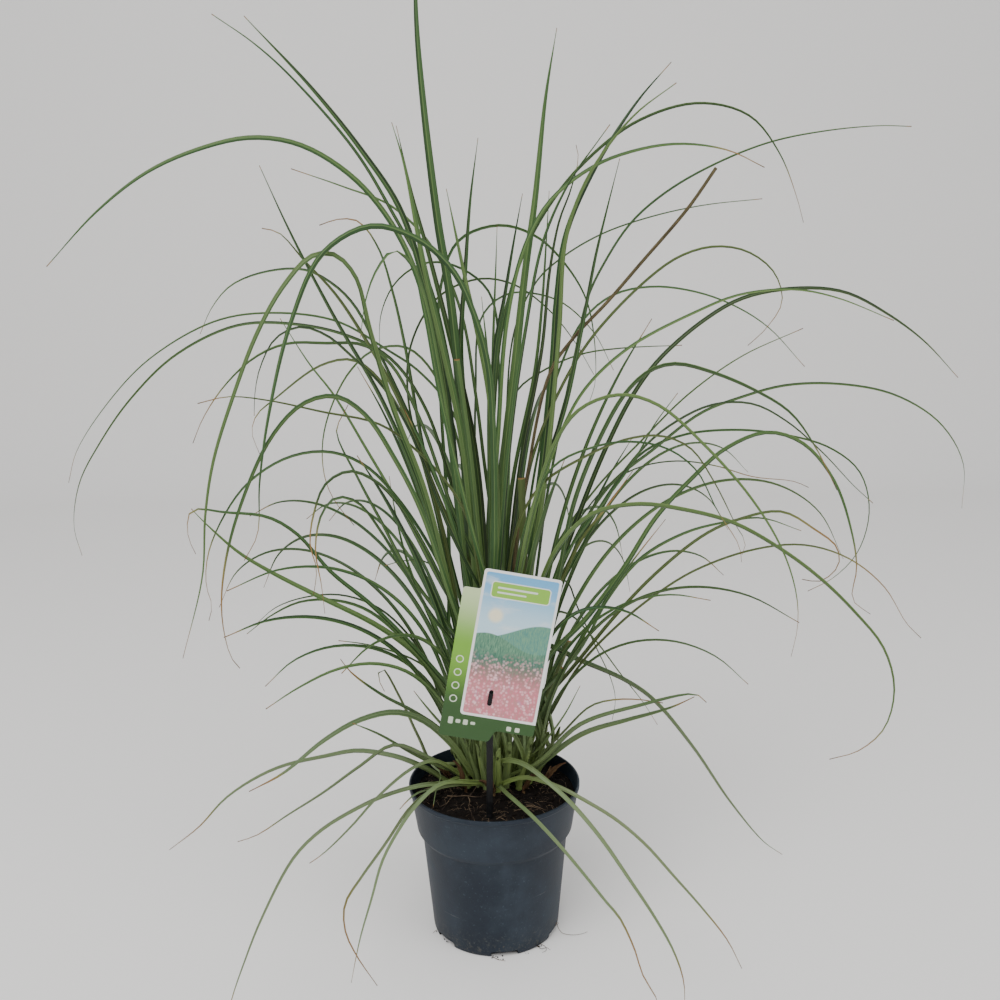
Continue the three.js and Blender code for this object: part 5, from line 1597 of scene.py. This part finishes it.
def addCrumb(bm, place, size, draw):
    small = bmesh.new()
    verts = bmesh.ops.create_icosphere(small, subdivisions=1, radius=size * mm)["verts"]
    stretch = Vector((1, 0.6 + 0.7 * draw(), 0.5 + 0.4 * draw()))
    turn = Matrix.Rotation(2 * math.pi * draw(), 3, "Z") @ Matrix.Rotation(draw() - 0.5, 3, "X")
    for vert in verts:
        vert.co = turn @ (vert.co * (0.75 + 0.5 * draw()) * stretch) + Vector(place) * mm
    addSmall(bm, small)


def buildCrumbs(material):
    # lumps of peat and bark on the soil, and a few at the pot's foot
    draw = evenDraws(soilLook["seed"])
    bm = bmesh.new()
    least, more = soilLook["crumbSize"]
    for _ in range(soilLook["crumbs"]):
        x, y = topPlace(draw)
        size = least + more * draw() ** 3
        addCrumb(bm, (x, y, soilHeight(x, y) + size * 0.25), size, draw)
    least, more = soilLook["spilledSize"]
    for x, y, spread, count in spilled["heaps"]:
        for _ in range(count):
            size = least + more * draw() ** 2
            place = (x + (draw() - 0.5) * spread, y + (draw() - 0.5) * spread, size * 1.1)
            addCrumb(bm, place, size, draw)
    finishPiece(tidyMesh(bm, "soil_crumbs", material))


def addStrand(bm, points, radius, sides=5, tip=0.25):
    # a tapering closed tube through points in mm
    points = [Vector(point) for point in points]
    sections = []
    for i, point in enumerate(points):
        after = points[min(i + 1, len(points) - 1)]
        before = points[max(i - 1, 0)]
        facing = (after - before).to_track_quat("Z", "Y").to_matrix()
        thick = radius * between(1, tip, i / (len(points) - 1))

        def section(turn, point=point, facing=facing, thick=thick):
            return point + facing @ Vector((math.cos(turn), math.sin(turn), 0)) * thick

        sections.append(section)
    small = bmesh.new()
    growTube(small, sides, sections)
    addSmall(bm, small)


def fibreMaterial():
    material, tree, shader = newMaterial("fibre")
    tone = noiseAt(tree, objectPlace(tree), 60.0, 2.0, 0.5)
    grain = noiseAt(tree, objectPlace(tree), 900.0, 3.0, 0.6)
    colour = mixColour(tree, fade(tree, tone, 0.35, 0.65), soilLook["rootDark"], soilLook["rootPale"])
    colour = mixColour(tree, fade(tree, grain, 0.5, 0.75, 0.0, 0.5), colour, soilLook["red"])
    paint(tree, shader, colour, 0.8)
    return material


def curved(points, count=14):
    # a smooth line through a few points
    return throughPoints(np.array(points, float), np.linspace(0, 1, count))


def buildFibres(material):
    # short fibres, fine roots that lie on the soil and a few strands at the pot's foot
    draw = evenDraws(soilLook["seed"] + 1)
    bm = bmesh.new()
    for i in range(soilLook["fibres"]):
        x, y = topPlace(draw)
        heading = 2 * math.pi * draw()
        kind = strandKinds["root" if i < soilLook["roots"] else "fibre"]
        least, more = kind["length"]
        length = least + more * draw()
        bend = (draw() - 0.5) * soilLook["bend"]
        lift = 0.3 + kind["lift"] * draw()
        points = []
        for k in range(7):
            points.append((x, y, soilHeight(x, y) + 0.3 + lift * math.sin(math.pi * k / 6)))
            x += math.cos(heading) * length / 6
            y += math.sin(heading) * length / 6
            heading += bend / 6
            if math.hypot(x, y) > soilLook["reach"]:
                break
        if len(points) > 2:
            addStrand(bm, points, kind["radius"])
    for radius, path in looseRoots:
        points = [(x, y, soilHeight(x, y) + lift) for x, y, lift in path]
        addStrand(bm, curved(points), radius, tip=0.4)
    for radius, path in spilled["strands"]:
        addStrand(bm, curved(path), radius, tip=0.5)
    finishPiece(tidyMesh(bm, "soil_fibres", material))


print("soil")
peat = soilMaterial()
buildSoil(peat)
buildCrumbs(peat)
buildFibres(fibreMaterial())


labelLook = {
    "border": 2.4,
    "pictureBottom": -71,
    "white": (0.80, 0.80, 0.78),
    "bandTop": (0.52, 0.64, 0.34),
    "bandMiddle": (0.170, 0.385, 0.030),
    "bandBottom": (0.020, 0.072, 0.009),
    "skyHigh": (0.13, 0.40, 0.68),
    "skyLow": (0.48, 0.68, 0.78),
    "sun": (0.86, 0.80, 0.58),
    "hillFar": (0.060, 0.215, 0.195),
    "hillNear": (0.030, 0.130, 0.085),
    "meadow": (0.16, 0.34, 0.20),
    "pink": (0.62, 0.17, 0.22),
    "palePink": (0.83, 0.52, 0.54),
    "lilac": (0.42, 0.36, 0.62),
    "ink": (0.78, 0.84, 0.68),
    "strip": (0.24, 0.48, 0.05),
    "cardDark": (0.66, 0.68, 0.64),
    "cardPale": (0.76, 0.77, 0.74),
    "roughness": 0.32,
}


def roundedBox(tree, u, v, left, right, low, high, corner):
    # mm outside a box with rounded corners, under 0 inside it
    outside = []
    for value, a, b in ((u, left, right), (v, low, high)):
        off = math2(tree, "ABSOLUTE", minus(tree, value, (a + b) / 2))
        outside.append(larger(tree, minus(tree, off, (b - a) / 2 - corner), 0.0))
    squares = [times(tree, one, one) for one in outside]
    length = math2(tree, "SQRT", plus(tree, squares[0], squares[1]))
    return minus(tree, length, corner)


def inside(tree, distance, soft=0.25):
    return fade(tree, distance, soft, -soft)


def discs(tree, u, v, centres, radius):
    # 1 inside any of the discs
    shade = None
    for x, y in centres:
        box = roundedBox(tree, u, v, x - radius, x + radius, y - radius, y + radius, radius)
        one = inside(tree, box, 0.35)
        shade = one if shade is None else larger(tree, shade, one)
    return shade


def labelMaterial():
    material, tree, shader = newMaterial("label_print")
    look = labelLook
    uv = tree.nodes.new("ShaderNodeUVMap")
    uv.uv_map = "print"
    split = tree.nodes.new("ShaderNodeSeparateXYZ")
    link(tree, uv.outputs["UV"], split.inputs[0])
    u = times(tree, split.outputs["X"], 100.0)
    v = times(tree, split.outputs["Y"], 100.0)
    sheet = combine(tree, u, v, 0.0)

    band = mixColour(tree, fade(tree, v, 52.0, -5.0), look["bandTop"], look["bandMiddle"])
    band = mixColour(tree, fade(tree, v, -10.0, -66.0), band, look["bandBottom"])
    rings = [(-44, y) for y in (-18, -31, -44, -57)]
    ring = minus(tree, discs(tree, u, v, rings, 3.6), discs(tree, u, v, rings, 2.7), True)
    band = mixColour(tree, times(tree, ring, 0.85), band, look["ink"])
    level = label["panelBottom"] + 4
    for x, high in ((-43, 3.4), (-36, 1.8), (-29, 2.6), (-22, 1.4), (12, 2.2), (20, 2.2)):
        bar = roundedBox(tree, u, v, x - 2.2, x + 2.2, level - high, level + high, 1.0)
        band = mixColour(tree, times(tree, inside(tree, bar, 0.3), 0.7), band, look["ink"])

    # a sky with a round sun, two hills, a meadow and round blossoms
    sky = mixColour(tree, fade(tree, v, 68.0, 18.0), look["skyHigh"], look["skyLow"])
    clouds = noiseAt(tree, combine(tree, times(tree, u, 0.03), times(tree, v, 0.09), 3.0), 1.0, 5.0)
    sky = mixColour(tree, fade(tree, clouds, 0.5, 0.75, 0.0, 0.6), sky, look["white"])
    sun = roundedBox(tree, u, v, -25, -12, 22, 35, 6.5)
    sky = mixColour(tree, inside(tree, sun, 2.5), sky, look["sun"])
    grain = noiseAt(tree, combine(tree, times(tree, u, 0.9), times(tree, v, 0.16), 0.0), 1.0, 5.0, 0.7)
    picture = sky
    for place, size, wave, colour in ((16.0, 9.0, 0.055, "hillFar"), (4.0, 7.0, -0.07, "hillNear")):
        line = times(tree, math2(tree, "SINE", times(tree, u, wave)), size)
        over = minus(tree, v, plus(tree, line, place))
        shade = mixColour(tree, fade(tree, grain, 0.3, 0.7), look[colour], look["meadow"])
        picture = mixColour(tree, fade(tree, over, 0.6, -0.6), picture, shade)
    wide = combine(tree, times(tree, u, 0.12), times(tree, v, 0.05), 7.0)
    soft = noiseAt(tree, wide, 1.0, 6.0, 0.65, 0.8)
    # a field of round blossoms that turns from green to pink towards the foot of the picture
    cells = tree.nodes.new("ShaderNodeTexVoronoi")
    cells.inputs["Scale"].default_value = 0.34
    cells.inputs["Randomness"].default_value = 0.9
    link(tree, sheet, cells.inputs["Vector"])
    blossoms = fade(tree, cells.outputs["Distance"], 0.62, 0.2)
    blossoms = times(tree, blossoms, fade(tree, v, -4.0, -30.0, 0.25, 1.0))
    pinkish = mixColour(tree, fade(tree, soft, 0.35, 0.6), look["pink"], look["palePink"])
    pinkish = mixColour(tree, fade(tree, grain, 0.5, 0.75, 0.0, 0.6), pinkish, look["palePink"])
    field = layered(
        tree,
        look["hillNear"],
        (fade(tree, v, -10.0, -44.0), look["pink"]),
        (fade(tree, grain, 0.4, 0.7, 0.0, 0.45), look["meadow"]),
        (fade(tree, soft, 0.55, 0.8, 0.0, 0.7), look["lilac"]),
        (blossoms, pinkish),
    )
    picture = mixColour(tree, fade(tree, v, -2.0, -14.0), picture, field)

    # a plain strip with two pale lines near the top of the picture
    strip = roundedBox(tree, u, v, -26, 27, 46, 60, 2.5)
    picture = mixColour(tree, inside(tree, minus(tree, strip, 0.9)), picture, look["white"])
    picture = mixColour(tree, inside(tree, strip), picture, look["strip"])
    for low, high, end in ((54.2, 56.0, 16), (49.8, 51.4, 6)):
        line = roundedBox(tree, u, v, -21, end, low, high, 0.8)
        picture = mixColour(tree, times(tree, inside(tree, line), 0.8), picture, look["white"])

    # the picture, in a white border that runs off the card on the right and at the top
    left, right, low, high = label["panelLeft"], label["right"], look["pictureBottom"], label["top"]
    edge = look["border"]
    panel = roundedBox(tree, u, v, left, right + 5, low, high + 5, 3.5)
    inner = roundedBox(tree, u, v, left + edge, right - edge, low + edge, high - edge, 2.2)
    colour = mixColour(tree, inside(tree, panel), band, look["white"])
    colour = mixColour(tree, inside(tree, inner), colour, picture)
    paint(tree, shader, colour, look["roughness"])
    return material


def cardMaterial():
    # the label's back and its cut edge
    material, tree, shader = newMaterial("label_back")
    grain = noiseAt(tree, objectPlace(tree), 300.0, 4.0)
    colour = mixColour(tree, fade(tree, grain, 0.3, 0.7), labelLook["cardDark"], labelLook["cardPale"])
    paint(tree, shader, colour, 0.45)
    return material


def thicken(bm, thickness):
    # a flat face becomes a plate of this thickness in mm
    made = bmesh.ops.extrude_face_region(bm, geom=list(bm.faces))["geom"]
    bmesh.ops.translate(bm, vec=(0, 0, thickness * mm), verts=vertsIn(made))


def slotCutter(x, z, reach=3):
    # an upright prism with half round ends, through the card
    bm = bmesh.new()
    ring = bmesh.ops.create_circle(bm, cap_ends=True, radius=slot["width"] / 2 * mm, segments=24)["verts"]
    stretch = (slot["height"] - slot["width"]) / 2 * mm
    for vert in ring:
        vert.co.y += stretch if vert.co.y > 0 else -stretch
        vert.co.z = -reach * mm
    thicken(bm, reach * 2)
    bmesh.ops.translate(bm, vec=(x * mm, z * mm, 0), verts=bm.verts)
    bmesh.ops.recalc_face_normals(bm, faces=bm.faces)
    return tidyMesh(bm, "slot_cutter", [], smooth=False)


def labelPlace():
    # from the card's own plane to its place on the stake
    c, s = math.cos(-label["turn"]), math.sin(-label["turn"])
    return Matrix((
        (c, s, 0, label["x"] * mm),
        (0, 0, -1, label["y"] * mm),
        (-s, c, 0, label["z"] * mm),
        (0, 0, 0, 1),
    ))


def buildLabel():
    outline = [
        (label["right"], label["top"]),
        (label["panelLeft"], label["top"]),
        (label["panelLeft"], label["tabTop"]),
        (label["left"], label["tabTop"]),
        (label["left"], label["bottom"]),
        (label["notchLeft"], label["bottom"]),
        (label["notchRight"], label["panelBottom"]),
        (label["right"], label["panelBottom"]),
    ]
    bm = bmesh.new()
    verts = [bm.verts.new((x * mm, y * mm, 0)) for x, y in outline]
    bm.faces.new(verts)
    roundOff(bm, verts, label["corner"], 6, "VERTICES")
    thicken(bm, label["thickness"])
    bmesh.ops.recalc_face_normals(bm, faces=bm.faces)
    piece = tidyMesh(bm, "label_fine", [labelMaterial(), cardMaterial()], smooth=False)
    cutAway(piece, slotCutter(*onLabel(slot["x"], slot["z"])))
    mesh = piece.data
    printed = mesh.uv_layers.new(name="print")
    for polygon in mesh.polygons:
        polygon.material_index = 0 if polygon.normal.z > 0.5 else 1
        for corner in polygon.loop_indices:
            at = mesh.vertices[mesh.loops[corner].vertex_index].co
            printed.data[corner].uv = (at.x * 10, at.y * 10)
    mesh.transform(labelPlace())
    finishPiece(piece, "plant_label")


stakeLook = {
    "colour": (0.004, 0.004, 0.0045),
    "worn": (0.016, 0.015, 0.015),
    "roughness": 0.42,
    "rounding": 0.7,
    # height over its foot, or under its top, at which it has this share of its width
    "footShares": [(0, 0.3), (14, 1)],
    "topShares": [(1, 1), (0, 0.8)],
    "tongue": (3.2, 10),
    "tongueOut": 2,  # how far it stands out of the label
    "tongueRounding": 0.6,
}


def stakeMaterial():
    material, tree, shader = newMaterial("stake_plastic")
    grain = noiseAt(tree, objectPlace(tree), 260.0, 4.0)
    colour = mixColour(tree, fade(tree, grain, 0.5, 0.8), stakeLook["colour"], stakeLook["worn"])
    paint(tree, shader, colour, fade(tree, grain, 0.3, 0.7, stakeLook["roughness"], 0.6), 0.25)
    return material


def addTongue(bm):
    # from the stake through the label's slot
    x, z = onLabel(slot["x"], slot["z"])
    out = label["thickness"] + stakeLook["tongueOut"]
    length = out + stake["gap"] + stake["thickness"] / 2
    tongue = bmesh.new()
    bmesh.ops.create_cube(tongue, size=1)
    bmesh.ops.scale(tongue, vec=Vector((*stakeLook["tongue"], length)) * mm, verts=tongue.verts)
    roundOff(tongue, tongue.edges, stakeLook["tongueRounding"], 3)
    bmesh.ops.translate(tongue, vec=Vector((x, z, out - length / 2)) * mm, verts=tongue.verts)
    bmesh.ops.transform(tongue, matrix=labelPlace(), verts=tongue.verts)
    addSmall(bm, tongue)


def buildStake():
    sections = [(stake["foot"] + up, share) for up, share in stakeLook["footShares"]]
    sections += [(stake["top"] - down, share) for down, share in stakeLook["topShares"]]
    bm = bmesh.new()
    face = bmesh.ops.create_grid(bm, x_segments=1, y_segments=1, size=0.5)["verts"][0].link_faces[0]
    for z, share in sections:
        if z > stake["foot"]:
            face = bmesh.ops.extrude_discrete_faces(bm, faces=[face])["faces"][0]
        middle = face.calc_center_median()
        for vert in face.verts:
            side = 1 if vert.co.x > middle.x else -1
            deep = 1 if vert.co.y > middle.y else -1
            vert.co = Vector((
                stakeMiddle(z) + side * stake["width"] / 2 * share,
                stakeDepth + deep * stake["thickness"] / 2,
                z,
            )) * mm
    bmesh.ops.holes_fill(bm, edges=bm.edges)
    bmesh.ops.recalc_face_normals(bm, faces=bm.faces)
    sharp = [edge for edge in bm.edges if edge.calc_face_angle(0) > 0.6]
    roundOff(bm, sharp, stakeLook["rounding"], 3)
    addTongue(bm)
    finishPiece(tidyMesh(bm, "stake_fine", stakeMaterial()), "label_stake")


print("label and stake")
buildLabel()
buildStake()
